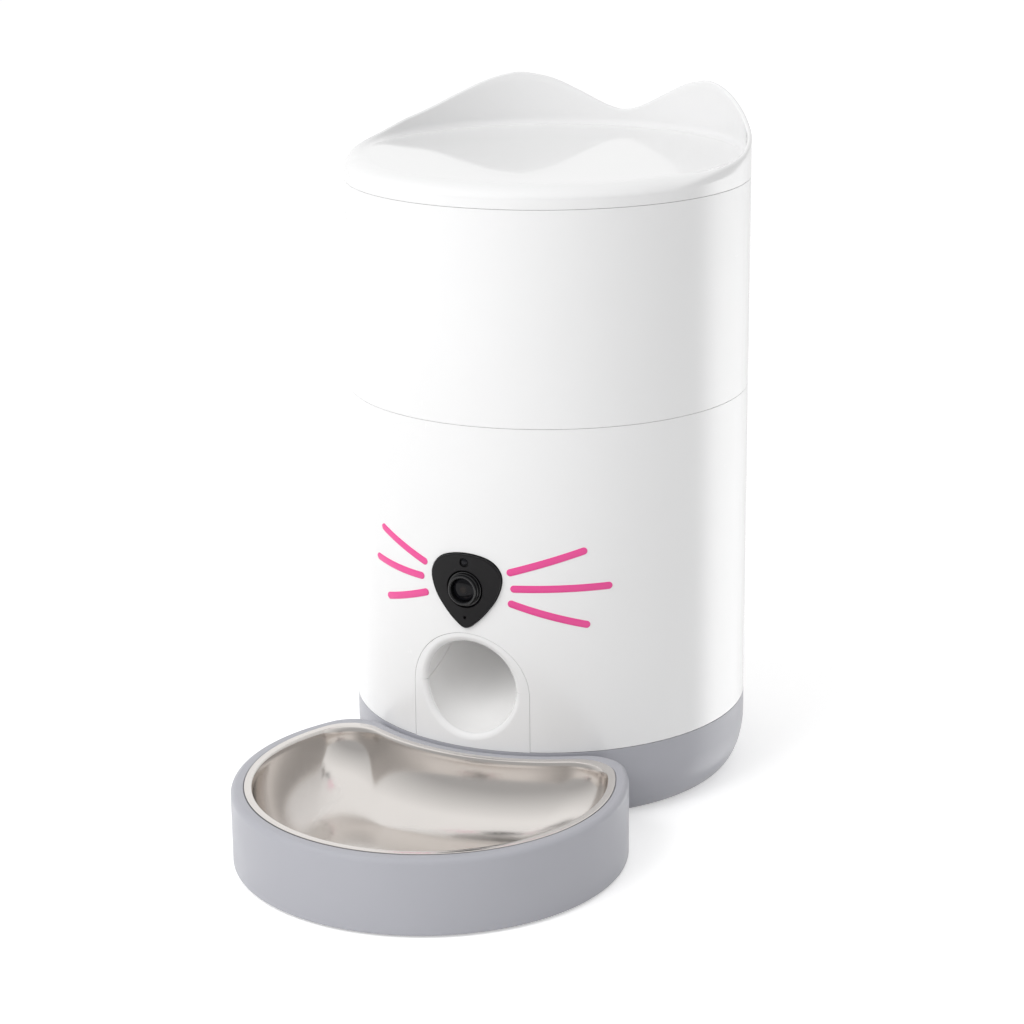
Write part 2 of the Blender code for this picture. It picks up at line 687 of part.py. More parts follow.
def camera_parts(axis):
    """Barrel, lens, light sensor, microphone and the board behind the nose."""
    front = NOSE_FACE + BARREL_PROUD
    bore = LENS_RADIUS + FIT
    lens_back = front - LENS_DEPTH - LENS_DOME - LENS_THICKNESS
    place_lens = {"location": (0, 0, LENS_Z), "rotation": FACE_FRONT}
    barrel = [
        (BARREL_RADIUS - BARREL_BEZEL / 2, front),
        (BARREL_RADIUS, front - BARREL_BEZEL / 2),
        (BARREL_RADIUS, BARREL_BACK),
        (BARREL_APERTURE, BARREL_BACK),
        (BARREL_APERTURE, lens_back - FIT),
        (bore, lens_back - FIT),
        (bore, front - BARREL_BEZEL),
        (bore + BARREL_BEZEL / 2, front),
    ]
    turned("camera_barrel", barrel, GLOSS_BLACK, axis, ROUND_PART_STEPS, ring=True, **place_lens)
    rim = front - LENS_DEPTH - LENS_DOME
    dome = arc((0, rim), LENS_RADIUS, math.pi / 2, 0, ROUND_STEPS, LENS_DOME)
    lens = [(0, dome[0][1]), *dome[1:], (LENS_RADIUS, lens_back), (0, lens_back)]
    turned("camera_lens", lens, LENS_GLASS, axis, ROUND_PART_STEPS, **place_lens)
    rod(
        "light_sensor", SENSOR_RADIUS, NOSE_FACE - FACE_RECESS, INNER_RADIUS, LENS_GLASS, axis,
        location=(0, 0, LENS_Z + SENSOR_RISE), rotation=FACE_FRONT,
    )
    mic_front = wall_inside(MIC_RADIUS)
    rod(
        "microphone", MIC_RADIUS, mic_front, mic_front - MIC_LENGTH, METAL, axis,
        location=(0, 0, LENS_Z - MIC_DROP), rotation=FACE_FRONT,
    )
    back = CAMERA_BOARD_FRONT - BOARD_THICKNESS
    size = (CAMERA_BOARD_WIDTH, BOARD_THICKNESS, CAMERA_BOARD_HEIGHT)
    middle = (0, -(CAMERA_BOARD_FRONT + back) / 2, LENS_Z)
    module = box("camera_module", size, middle, BOARD, axis)
    depth = CAMERA_BLOCK_DEPTH + BOARD_THICKNESS / 2
    block = box(
        "camera_block", (CAMERA_BLOCK, depth, CAMERA_BLOCK),
        (0, -(CAMERA_BOARD_FRONT + CAMERA_BLOCK_DEPTH - depth / 2), LENS_Z), None, axis,
    )
    boolean(module, block, "UNION")


def whiskers(axis):
    """Three printed strokes each side of the nose. Each is a round-ended ribbon on the wall."""
    inner = BODY_RADIUS + WHISKER_GAP
    top = NOSE_Z + 2 * NOSE_HEIGHT
    band = wall_band("whisker_band", inner, inner + WHISKER_THICKNESS, BASE_TOP, top, axis)
    for side, word, strokes in ((-1, "left", LEFT_WHISKER_SHARES), (1, "right", RIGHT_WHISKER_SHARES)):
        for row, (start, end, bow) in enumerate(strokes):
            outline = [on_wall(side * s, z) for s, z in whisker_outline(start, end, bow)]
            stroke = front_prism(f"whisker_{word}_{row + 1}", outline, NOSE_Z, PINK, axis)
            boolean(stroke, band, "INTERSECT")


def on_wall(along, height):
    """A place on the wall, given by its arc length from the front, as seen from the front."""
    return (BODY_RADIUS * math.sin(along / BODY_RADIUS), height)


def whisker_outline(start, end, bow):
    """A ribbon's outline in arc length and height above the nose's tip."""
    unit = Vector((NOSE_WIDTH / 2, NOSE_HEIGHT))
    a = Vector(start) * unit
    b = Vector(end) * unit
    along = b - a
    side = Vector((-along.y, along.x))
    middle = (a + b) / 2 + side * bow
    half = WHISKER_WIDTH / 2
    near = Vector((-(middle - a).y, (middle - a).x)).normalized()
    far = Vector((-(b - middle).y, (b - middle).x)).normalized()
    cross = side.normalized()
    heading = math.atan2(near.y, near.x)
    close = arc(a, half, heading, heading + math.pi, ROUND_STEPS)
    heading = math.atan2(-far.y, -far.x)
    open_end = arc(b, half, heading, heading + math.pi, ROUND_STEPS)
    return [*close, tuple(middle - cross * half), *open_end, tuple(middle + cross * half)]


def chute_cover(axis):
    """Arched panel in the front wall, flush with it, with the filleted mouth of the outlet."""
    cover = front_prism("chute_cover", arch_outline(0, -SEAM / 2), BASE_TOP, WHITE, axis)
    top = BASE_TOP + ARCH_HEIGHT + OVERRUN
    band = wall_band("cover_band", INNER_RADIUS, BODY_RADIUS, BASE_TOP - OVERRUN, top, axis)
    boolean(cover, band, "INTERSECT")
    boolean(cover, mouth_tool(axis))
    return cover


def mouth_tool(axis):
    """Trumpet that follows the round wall: wide at the face, narrowing by a fillet to the mouth."""
    flare = []
    for i in range(ROUND_STEPS + 1):
        turn = i * math.pi / 2 / ROUND_STEPS
        radius = MOUTH_RADIUS + MOUTH_FILLET * (1 - math.sin(turn))
        flare.append((radius, MOUTH_FILLET * (1 - math.cos(turn))))
    sections = [(MOUTH_RADIUS + MOUTH_FILLET, -OVERRUN), *flare, (MOUTH_RADIUS, MOUTH_FILLET + OVERRUN)]
    rings = []
    for radius, depth in sections:
        ring = []
        for x, z in around(MOUTH_STEPS, radius):
            ring.append((x, -(math.sqrt(BODY_RADIUS ** 2 - x ** 2) - depth), z))
        rings.append(ring)
    return lofted("mouth_tool", rings, None, axis, location=(0, 0, MOUTH_Z))


def chute_points():
    """The outlet's centreline, from above the drop hole down and forward through the mouth."""
    top = Vector((0, -DROP_OFFSET, WELL_UNDERSIDE + OVERRUN))
    end = Vector((0, -(BODY_RADIUS + OVERRUN), MOUTH_Z - CHUTE_SLOPE / 4))
    down = top - Vector((0, 0, CHUTE_STRAIGHT_SHARE * (top.z - end.z)))
    ahead = Vector((0, end.y + CHUTE_REACH, end.z + CHUTE_SLOPE))
    points = []
    for i in range(CHUTE_STEPS + 1):
        t = i / CHUTE_STEPS
        s = 1 - t
        points.append(s ** 3 * top + 3 * s * s * t * down + 3 * s * t * t * ahead + t ** 3 * end)
    return points


def outlet_chute(axis):
    """Curved pipe that takes kibble from the drop hole to the mouth."""
    points = chute_points()
    count = len(points) - 1
    bore = [CHUTE_TOP_RADIUS + (MOUTH_RADIUS - CHUTE_TOP_RADIUS) * i / count for i in range(count + 1)]
    outer_mesh = pipe("outlet_chute", points, [r + CHUTE_WALL for r in bore])
    chute = place("outlet_chute", outer_mesh, WHITE, axis)
    longer = [2 * points[0] - points[1], *points, 2 * points[-1] - points[-2]]
    inner_mesh = pipe("chute_bore", longer, [bore[0], *bore, bore[-1]])
    boolean(chute, place("chute_bore", inner_mesh, None, axis))
    room_radius = INNER_RADIUS * math.cos(math.pi / BODY_STEPS) - FIT
    turn = (0, 0, math.pi / BODY_STEPS)
    room = rod(
        "body_room", room_radius, WELL_UNDERSIDE - FIT, BASE_TOP, None, axis, BODY_STEPS, rotation=turn
    )
    boolean(chute, room, "INTERSECT")
    return chute


def dispenser_deck(axis):
    """Deck that closes the lower body, with the rotor's well, drop hole and shaft hole."""
    hole = BUSH_RADIUS + FIT
    step = WELL_RADIUS + GUARD_STEP
    profile = [
        (INNER_RADIUS - FIT, DECK_TOP),
        (INNER_RADIUS - FIT, DECK_UNDERSIDE),
        (WELL_RADIUS + WELL_WALL, DECK_UNDERSIDE),
        (WELL_RADIUS + WELL_WALL, WELL_UNDERSIDE),
        (hole, WELL_UNDERSIDE),
        (hole, WELL_FLOOR),
        (WELL_RADIUS, WELL_FLOOR),
        (WELL_RADIUS, DECK_TOP - GUARD_REBATE),
        (step, DECK_TOP - GUARD_REBATE),
        (step, DECK_TOP),
    ]
    deck = turned("dispenser_deck", profile, LIGHT_GREY, axis, ring=True)
    spot = (0, -DROP_OFFSET, 0)
    top, bottom = WELL_FLOOR + OVERRUN, WELL_UNDERSIDE - OVERRUN
    boolean(deck, rod("drop_hole", DROP_RADIUS, top, bottom, None, axis, ROUND_PART_STEPS, location=spot))
    return deck


def metering_guard(axis):
    """Plate over the drop hole, so that only what a pocket holds falls through."""
    low, high = -math.pi / 2 - GUARD_SPREAD, -math.pi / 2 + GUARD_SPREAD
    outer = arc((0, 0), WELL_RADIUS + GUARD_STEP - FIT, low, high, 2 * ROUND_STEPS)
    inner = arc((0, 0), GUARD_INNER, high, low, ROUND_STEPS)
    middle = DECK_TOP - GUARD_REBATE + FIT + GUARD_THICKNESS / 2
    plate("metering_guard", outer + inner, GUARD_THICKNESS, LIGHT_GREY, axis, location=(0, 0, middle))


def shaft_bush(axis):
    flange = BUSH_RADIUS + BUSH_FLANGE
    profile = [
        (BUSH_RADIUS, WELL_FLOOR),
        (BUSH_RADIUS, WELL_UNDERSIDE - FIT),
        (flange, WELL_UNDERSIDE - FIT),
        (flange, BUSH_BOTTOM),
        (BUSH_BORE, BUSH_BOTTOM),
        (BUSH_BORE, WELL_FLOOR),
    ]
    turned("shaft_bush", profile, BRASS, axis, ROUND_PART_STEPS, ring=True)


def rotor_parts(axis):
    """Vaned rotor on its shaft, with the driven gear under the well."""
    pivot = bpy.data.objects.new("rotor_axis", None)
    PARTS.objects.link(pivot)
    pivot.parent = axis
    bore = SHAFT_RADIUS + FIT
    steps = ROUND_PART_STEPS
    rotor = tube("rotor", ROTOR_HUB, bore, ROTOR_TOP, ROTOR_BOTTOM, ROTOR_PLASTIC, pivot, steps)
    length = ROTOR_RADIUS - ROTOR_HUB + VANE_THICKNESS
    height = ROTOR_TOP - ROTOR_BOTTOM
    for i, (x, y) in enumerate(around(VANE_COUNT, ROTOR_RADIUS - length / 2)):
        spot = (x, y, (ROTOR_TOP + ROTOR_BOTTOM) / 2)
        vane = box(f"vane_{i}", (length, VANE_THICKNESS, height), spot, None, pivot)
        vane.rotation_euler = (0, 0, 2 * math.pi * i / VANE_COUNT)
        boolean(rotor, vane, "UNION")
    rod("rotor_shaft", SHAFT_RADIUS, ROTOR_TOP - FIT, GEAR_BOTTOM, METAL, pivot, steps)
    outline = gear_outline(GEAR_TEETH, math.pi / 2)
    middle = (GEAR_TOP + GEAR_BOTTOM) / 2
    gear = plate("drive_gear", outline, GEAR_WIDTH, NYLON, pivot, location=(0, 0, middle))
    hole = rod("gear_bore", bore, GEAR_TOP + OVERRUN, GEAR_BOTTOM - OVERRUN, None, pivot, steps)
    boolean(gear, hole)


def gear_outline(teeth, first):
    """Straight-sided teeth. A tooth is centred on the angle first."""
    pitch = GEAR_MODULE * teeth / 2
    root = pitch - TOOTH_DEPTH_SHARE * GEAR_MODULE
    tip = pitch + TOOTH_HEIGHT_SHARE * GEAR_MODULE
    turn = 2 * math.pi / teeth
    flanks = (
        (root, -TOOTH_ROOT_SHARE), (tip, -TOOTH_TIP_SHARE),
        (tip, TOOTH_TIP_SHARE), (root, TOOTH_ROOT_SHARE),
    )
    outline = []
    for i in range(teeth):
        for radius, share in flanks:
            angle = first + (i + share) * turn
            outline.append((radius * math.cos(angle), radius * math.sin(angle)))
    return outline


def motor_parts(axis):
    """Gear motor under a bracket that hangs from the well, and its pinion."""
    pivot = bpy.data.objects.new("pinion_axis", None)
    PARTS.objects.link(pivot)
    pivot.parent = axis
    pivot.location = (0, GEAR_DISTANCE, 0)
    outline = gear_outline(PINION_TEETH, -math.pi / 2 + math.pi / PINION_TEETH)
    middle = (GEAR_TOP + GEAR_BOTTOM) / 2
    pinion = plate("motor_pinion", outline, GEAR_WIDTH, NYLON, pivot, location=(0, 0, middle))
    arbor_bottom = MOTOR_TOP - MOTOR_SHAFT_DEPTH + FIT
    arbor = rod("pinion_arbor", MOTOR_SHAFT, middle, arbor_bottom, None, pivot)
    boolean(pinion, arbor, "UNION")
    spot = (0, GEAR_DISTANCE, 0)
    bottom = MOTOR_TOP - MOTOR_LENGTH
    motor = rod("gear_motor", MOTOR_RADIUS, MOTOR_TOP, bottom, METAL, axis, ROUND_PART_STEPS, location=spot)
    top = MOTOR_TOP + OVERRUN
    bottom = MOTOR_TOP - MOTOR_SHAFT_DEPTH
    socket = rod("motor_socket", MOTOR_SHAFT + FIT, top, bottom, None, axis, location=spot)
    boolean(motor, socket)
    bracket = motor_bracket(axis)
    head = BRACKET_TOP + FIT
    bottom = head - MOTOR_SCREW_LENGTH
    top = BRACKET_TOP + OVERRUN
    for side in (-1, 1):
        spot = (side * MOTOR_SCREW_SPREAD, GEAR_DISTANCE, 0)
        name = f"motor_screw_hole_{side}"
        hole = rod(name, SCREW_SHANK + FIT, top, bottom - FIT, None, axis, location=spot)
        boolean(motor, hole)
        boolean(bracket, hole)
        profile = [
            (0, head + SCREW_HEAD_HEIGHT), (SCREW_HEAD, head + SCREW_HEAD_HEIGHT), (SCREW_HEAD, head),
            (SCREW_SHANK, head), (SCREW_SHANK, bottom), (0, bottom),
        ]
        turned(f"motor_screw_{(side + 3) // 2}", profile, METAL, axis, SMALL_STEPS, location=spot)


def motor_bracket(axis):
    """Plate over the motor, hung from the well's underside by two legs."""
    middle = BRACKET_TOP - BRACKET_THICKNESS / 2
    size = (BRACKET_WIDTH, BRACKET_DEPTH, BRACKET_THICKNESS)
    bracket = box("motor_bracket", size, (0, GEAR_DISTANCE, middle), METAL, axis)
    top = WELL_UNDERSIDE - FIT
    for side in (-1, 1):
        height = top - middle
        spot = (side * (BRACKET_WIDTH - BRACKET_LEG) / 2, GEAR_DISTANCE, middle + height / 2)
        leg = box(f"bracket_leg_{side}", (BRACKET_LEG, BRACKET_DEPTH, height), spot, None, axis)
        boolean(bracket, leg, "UNION")
    hole = rod(
        "bracket_hole", BRACKET_HOLE, BRACKET_TOP + OVERRUN, MOTOR_TOP - OVERRUN, None, axis,
        location=(0, GEAR_DISTANCE, 0),
    )
    boolean(bracket, hole)
    return bracket


def electronics(axis):
    """Main board on its posts, and the speaker over its slots."""
    bottom = PLATE_TOP + BOARD_POST_HEIGHT + FIT
    centre = (0, BOARD_OFFSET, bottom + BOARD_THICKNESS / 2)
    board = box("main_board", (BOARD_WIDTH, BOARD_DEPTH, BOARD_THICKNESS), centre, BOARD, axis)
    top = bottom + BOARD_THICKNESS
    for name, along_share, across_share, width_share, height in BOARD_PART_SHARES:
        size = (width_share * BOARD_WIDTH, width_share * BOARD_WIDTH, height + FIT)
        spot = (along_share * BOARD_WIDTH, BOARD_OFFSET + across_share * BOARD_DEPTH, top - FIT + size[2] / 2)
        boolean(board, box(name, size, spot, None, axis), "UNION")
    low = PLATE_TOP + FIT
    magnet = SPEAKER_RADIUS / 2
    rim = low + SPEAKER_RIM
    profile = [
        (0, low + SPEAKER_HEIGHT), (magnet, low + SPEAKER_HEIGHT), (magnet, low + SPEAKER_HEIGHT / 2),
        (SPEAKER_RADIUS, rim), (SPEAKER_RADIUS, low), (0, low),
    ]
    turned("speaker", profile, RUBBER, axis, ROUND_PART_STEPS, location=(0, -SPEAKER_OFFSET, 0))


def rear_parts(axis):
    """Power inlet and reset button in the rear wall, with the board that carries their switch."""
    flange_face = wall_inside(INLET_RADIUS + INLET_FLANGE)
    face = math.sqrt(BODY_RADIUS ** 2 - INLET_RADIUS ** 2) - FACE_RECESS
    back = REAR_BOARD_FRONT + FIT
    floor = face - INLET_BORE_DEPTH
    outer = INLET_RADIUS + INLET_FLANGE
    profile = [
        (INLET_RADIUS, face), (INLET_RADIUS, flange_face), (outer, flange_face),
        (outer, flange_face - INLET_FLANGE_THICKNESS), (INLET_RADIUS, flange_face - INLET_FLANGE_THICKNESS),
        (INLET_RADIUS, back), (0, back),
    ]
    bore = [(INLET_BORE, face), (INLET_BORE, floor), (INLET_PIN_RADIUS, floor)]
    pin_top = floor + INLET_PIN_LENGTH
    profile = [(0, pin_top), (INLET_PIN_RADIUS, pin_top), *reversed(bore), *profile]
    spot = (0, 0, INLET_Z)
    turned("power_inlet", profile, BLACK, axis, ROUND_PART_STEPS, location=spot, rotation=FACE_REAR)
    flange_face = wall_inside(BUTTON_RADIUS + BUTTON_FLANGE)
    face = math.sqrt(BODY_RADIUS ** 2 - BUTTON_RADIUS ** 2) - FACE_RECESS
    outer = BUTTON_RADIUS + BUTTON_FLANGE
    pin_end = flange_face - BUTTON_FLANGE - BUTTON_PIN_LENGTH
    profile = [
        (0, face), (BUTTON_RADIUS, face), (BUTTON_RADIUS, flange_face), (outer, flange_face),
        (outer, flange_face - BUTTON_FLANGE), (BUTTON_PIN_RADIUS, flange_face - BUTTON_FLANGE),
        (BUTTON_PIN_RADIUS, pin_end), (0, pin_end),
    ]
    spot = (0, 0, BUTTON_Z)
    turned("reset_button", profile, LIGHT_GREY, axis, ROUND_PART_STEPS, location=spot, rotation=FACE_REAR)
    board_middle = REAR_BOARD_FRONT - BOARD_THICKNESS / 2
    size = (REAR_BOARD_WIDTH, BOARD_THICKNESS, REAR_BOARD_HEIGHT)
    board = box("rear_board", size, (0, board_middle, REAR_BOARD_Z), BOARD, axis)
    switch_front = pin_end - BUTTON_TRAVEL - FIT
    depth = switch_front - board_middle
    size = (SWITCH_SIZE, depth, SWITCH_SIZE)
    switch = box("button_switch", size, (0, board_middle + depth / 2, BUTTON_Z), None, axis)
    boolean(board, switch, "UNION")


def wall_inside(radius):
    """How far out a flat round face of that radius can lie behind the body's wall."""
    return math.sqrt((INNER_RADIUS * math.cos(math.pi / BODY_STEPS)) ** 2 - radius ** 2) - FIT


def hopper_shell(axis):
    """White upper shell: a spigot into the lower shell below, and a ledge for the tank above."""
    top = LID_SEAM - SEAM / 2
    bottom = MID_SEAM + SEAM / 2
    low = MID_SEAM - SPIGOT_HEIGHT
    ledge_top = LID_SEAM - TANK_FLANGE_DROP - FIT
    ledge = INNER_RADIUS - TANK_LEDGE
    profile = [
        (BODY_RADIUS, top),
        (BODY_RADIUS, bottom),
        (SPIGOT_RADIUS, bottom),
        (SPIGOT_RADIUS, low),
        (SPIGOT_INNER, low),
        (SPIGOT_INNER, bottom + SPIGOT_WALL),
        (INNER_RADIUS, bottom + 2 * SPIGOT_WALL),
        (INNER_RADIUS, ledge_top - TANK_LEDGE),
        (ledge, ledge_top),
        (INNER_RADIUS, ledge_top),
        (INNER_RADIUS, top),
    ]
    return turned("hopper_shell", profile, WHITE, axis, ring=True)


def food_tank(axis):
    """Straight tank wall that hangs from the hopper's ledge."""
    flange_bottom = LID_SEAM - TANK_FLANGE_DROP
    flange_top = flange_bottom + TANK_FLANGE_THICKNESS
    bottom = MID_SEAM + FUNNEL_TOP - TANK_WALL
    inner = TANK_RADIUS - TANK_WALL
    profile = [
        (INNER_RADIUS - SEAM, flange_top),
        (INNER_RADIUS - SEAM, flange_bottom),
        (TANK_RADIUS, flange_bottom),
        (TANK_RADIUS, bottom),
        (inner, bottom),
        (inner, flange_top),
    ]
    return turned("food_tank", profile, CLEAR, axis, ring=True)


def tank_funnel(axis):
    """Funnel welded into the foot of the tank's wall, with the throat that feeds the rotor."""
    low, high = MID_SEAM + FUNNEL_BOTTOM, MID_SEAM + FUNNEL_TOP
    slope = math.atan2(high - low, TANK_RADIUS - TANK_THROAT)
    shift = TANK_WALL * (1 - math.sin(slope)) / math.cos(slope)
    mouth = DECK_TOP + TANK_THROAT_CLEARANCE
    rim, throat = TANK_RADIUS - TANK_WALL - FIT, TANK_THROAT - TANK_WALL
    profile = [
        (rim, high + shift - FIT * math.tan(slope)),
        (rim, high - (TANK_WALL + FIT) * math.tan(slope)),
        (TANK_THROAT, low),
        (TANK_THROAT, mouth),
        (throat, mouth),
        (throat, low + shift),
    ]
    return turned("tank_funnel", profile, CLEAR, axis, ring=True)


def ear_height(bearing):
    """Height of the ears above the lid at a bearing, in radians, from the rear."""
    degrees = math.degrees(abs(bearing))
    if degrees >= EAR_SHARES[-1][0]:
        return 0.0
    line = smooth_line([*((-a, s) for a, s in EAR_SHARES[1:2]), *EAR_SHARES], ROUND_STEPS, closed=False)
    for (a, s), (b, t) in zip(line, line[1:]):
        if a <= degrees <= b:
            return max(0.0, EAR_RISE * (s + (t - s) * (degrees - a) / (b - a)))
    return 0.0


def lid_section(bearing):
    """The lid's section at one bearing: a rounded rim in front, which rises into a thin wall."""
    height = ear_height(bearing)
    share = min(1.0, height / (EAR_BLEND_SHARE * EAR_RISE))
    blend = share * share * (3 - 2 * share)
    low = LID_TOP - LID_ROUND_HEIGHT
    centre = (BODY_RADIUS - LID_ROUND_WIDTH, low)
    rim = arc(centre, LID_ROUND_WIDTH, math.pi / 2, 0, LID_ROUND_STEPS, LID_ROUND_HEIGHT)
    foot = min(EAR_FOOT, height / 2)
    inside = BODY_RADIUS - EAR_WALL
    round_off = min(EAR_WALL / 2, height / 4)
    wall = [
        (inside - foot, LID_TOP),
        (inside - foot * (1 - math.sin(math.pi / 4)), LID_TOP + foot * (1 - math.cos(math.pi / 4))),
        (inside, LID_TOP + foot),
        (inside, LID_TOP + height - round_off),
        (BODY_RADIUS - EAR_WALL / 2, LID_TOP + height),
        (BODY_RADIUS, LID_TOP + height - round_off),
        (BODY_RADIUS, low),
    ]
    crest = [(a + (c - a) * blend, b + (d - b) * blend) for (a, b), (c, d) in zip(rim, wall)]
    seam = LID_SEAM + SEAM / 2
    groove = SKIRT_RADIUS - SEAL_SEAT
    bottom = LID_SEAM - SKIRT_DEPTH
    groove_low = bottom + SEAL_LIFT - FIT
    groove_high = bottom + SEAL_LIFT + SEAL_HEIGHT + FIT
    skirt_inner = SKIRT_RADIUS - SKIRT_WALL
    under = [
        (BODY_RADIUS, seam), (INNER_RADIUS, seam), (INNER_RADIUS, low), (SKIRT_RADIUS, low),
        (SKIRT_RADIUS, groove_high), (groove, groove_high), (groove, groove_low), (SKIRT_RADIUS, groove_low),
        (SKIRT_RADIUS, bottom), (skirt_inner, bottom), (skirt_inner, LID_TOP - LID_WALL),
    ]
    return crest + under


def lid(axis):
    """Lid with two ears at the rear, made from one section for each bearing."""
    sections = []
    for i in range(BODY_STEPS):
        bearing = 2 * math.pi * i / BODY_STEPS
        from_rear = math.remainder(bearing - math.pi / 2, 2 * math.pi)
        across, along = math.cos(bearing), math.sin(bearing)
        sections.append([(r * across, r * along, z) for r, z in lid_section(from_rear)])
    rings = [list(ring) for ring in zip(*sections)]
    return lofted("lid", rings, WHITE, axis)


def lid_fittings(axis):
    """Seal round the skirt, and the desiccant box under the lid."""
    bottom = LID_SEAM - SKIRT_DEPTH + SEAL_LIFT
    inner = SKIRT_RADIUS - SEAL_SEAT + FIT
    outer = SKIRT_RADIUS + SEAL_PROUD
    tube("lid_seal", outer, inner, bottom + SEAL_HEIGHT, bottom, SILICONE, axis)
    top = LID_TOP - LID_WALL - FIT
    low = top - DESICCANT_DEPTH
    inside = DESICCANT_RADIUS - DESICCANT_WALL
    profile = [
        (0, top), (DESICCANT_RADIUS, top), (DESICCANT_RADIUS, low), (inside, low),
        (inside, top - DESICCANT_WALL), (0, top - DESICCANT_WALL),
    ]
    turned("desiccant_box", profile, LIGHT_GREY, axis, CAP_STEPS)
    cap_top = low + DESICCANT_CAP + FIT
    rod("desiccant_pack", inside - FIT, top - DESICCANT_WALL - FIT, cap_top + FIT, FABRIC, axis, CAP_STEPS)
    cap = rod("desiccant_cap", inside - FIT, cap_top, low + FIT, LIGHT_GREY, axis, CAP_STEPS)
    grip_height = DESICCANT_GRIP + DESICCANT_CAP / 2
    grip = box(
        "cap_grip", (2 * VENT_CIRCLE - VENT_LENGTH, VENT_WIDTH, grip_height),
        (0, 0, low + FIT + DESICCANT_CAP / 2 - grip_height / 2), None, axis,
    )
    boolean(cap, grip, "UNION")
    for i, (x, y) in enumerate(around(VENT_COUNT, VENT_CIRCLE, math.pi / VENT_COUNT)):
        vent = box(f"vent_{i}", (VENT_LENGTH, VENT_WIDTH, DESICCANT_DEPTH), (x, y, low), None, axis)
        vent.rotation_euler = (0, 0, math.atan2(y, x))
        boolean(cap, vent)


def crescent(inset, height):
    """The bowl's outline, drawn in by inset: a round front and a hollow rear that fits the body."""
    corner = HOLDER_CORNER
    front, rear = HOLDER_RADIUS - inset, NEST_RADIUS + inset
    to_front, to_rear = front - corner, rear + corner
    along = (DOCK_DISTANCE ** 2 + to_rear ** 2 - to_front ** 2) / (2 * DOCK_DISTANCE)
    across = math.sqrt(to_rear ** 2 - along ** 2)
    outer_turn = math.atan2(DOCK_DISTANCE - along, across)
    rear_turn = math.atan2(-along, across)
    middle = (0, -DOCK_DISTANCE)
    right, left = (across, -along), (-across, -along)
    outline = [
        *arc(middle, front, outer_turn, -math.pi - outer_turn, BOWL_FRONT_STEPS)[:-1],
        *arc(left, corner, math.pi - outer_turn, -rear_turn, BOWL_CORNER_STEPS)[:-1],
        *arc((0, 0), rear, math.pi - rear_turn, 2 * math.pi + rear_turn, BOWL_REAR_STEPS)[:-1],
        *arc(right, corner, rear_turn + math.pi, outer_turn, BOWL_CORNER_STEPS)[:-1],
    ]
    return [(x, y, height) for x, y in outline]


def bowl_holder(axis):
    """Grey bowl stand, hollow below, with a rounded rim, a dish seat, and a tongue into the base."""
    seat = HOLDER_RIM + DISH_RIM - DISH_SEAT_WIDTH
    seat_z = HOLDER_TOP - DISH_GAUGE + DISH_PROUD - FIT
    rim_z = HOLDER_TOP - HOLDER_RIM_ROUND
    rim = [
        (HOLDER_RIM_ROUND * (1 - math.cos(a)), rim_z + HOLDER_RIM_ROUND * math.sin(a))
        for a in (i * math.pi / 2 / ROUND_STEPS for i in range(ROUND_STEPS + 1))
    ]
    cavity = seat + DISH_SEAT_WIDTH
    groove = (cavity - HOLDER_WALL, HOLDER_WALL)
    groove_top = seat_z - HOLDER_WALL
    sections = [
        (groove[0], FOOT_PROUD), (groove[0], groove_top), (groove[1], groove_top), (groove[1], FOOT_PROUD),
        (HOLDER_EDGE, FOOT_PROUD), (0, FOOT_PROUD + HOLDER_EDGE), *rim, (HOLDER_RIM - FIT, HOLDER_TOP),
        (HOLDER_RIM - FIT, seat_z), (cavity, seat_z), (cavity, FOOT_PROUD + HOLDER_FLOOR),
    ]
    holder = lofted("bowl_holder", [crescent(t, z) for t, z in sections], GREY, axis)
    length = 2 * TONGUE_LENGTH
    size = (TONGUE_WIDTH, length, TONGUE_THICKNESS)
    tongue = box("dock_tongue", size, (0, -NEST_RADIUS + TONGUE_LENGTH - length / 2, TONGUE_Z), None, axis)
    boolean(holder, tongue, "UNION")
    for i, turn in enumerate(HOLDER_FOOT_BEARINGS):
        x = HOLDER_FOOT_CIRCLE * math.cos(turn)
        y = -DOCK_DISTANCE + HOLDER_FOOT_CIRCLE * math.sin(turn)
        top = FOOT_PROUD + FOOT_RECESS
        steps = ROUND_PART_STEPS
        seat = HOLDER_FOOT_RADIUS + FIT
        boolean(holder, rod(f"foot_seat_{i}", seat, top, 0, None, axis, steps, location=(x, y, 0)))
        name = f"holder_foot_{i + 1}"
        rod(name, HOLDER_FOOT_RADIUS, top - FIT, 0, RUBBER, axis, steps, location=(x, y, 0))
    return holder


def steel_dish(axis):
    """Pressed dish of even gauge: a flat rim over a wall that sweeps round to a small flat floor."""
    top = HOLDER_TOP + DISH_PROUD
    inside = HOLDER_RIM + DISH_RIM
    under = top - DISH_GAUGE
    floor = FOOT_PROUD + HOLDER_FLOOR + DISH_FLOOR_GAP + DISH_GAUGE
    wall = inside + FIT
    middle = (wall + DISH_GAUGE + DISH_SWEEP, floor + DISH_SWEEP)
    inner = arc(middle, DISH_SWEEP, math.pi, 1.5 * math.pi, DISH_SWEEP_STEPS)
    outer = arc(middle, DISH_SWEEP + DISH_GAUGE, 1.5 * math.pi, math.pi, DISH_SWEEP_STEPS)
    lip = [(wall, under), (HOLDER_RIM, under), (HOLDER_RIM, top), (inside, top), (wall + DISH_GAUGE, under)]
    sections = [*outer, *lip, *inner]
    return lofted("steel_dish", [crescent(t, z) for t, z in sections], STEEL, axis)


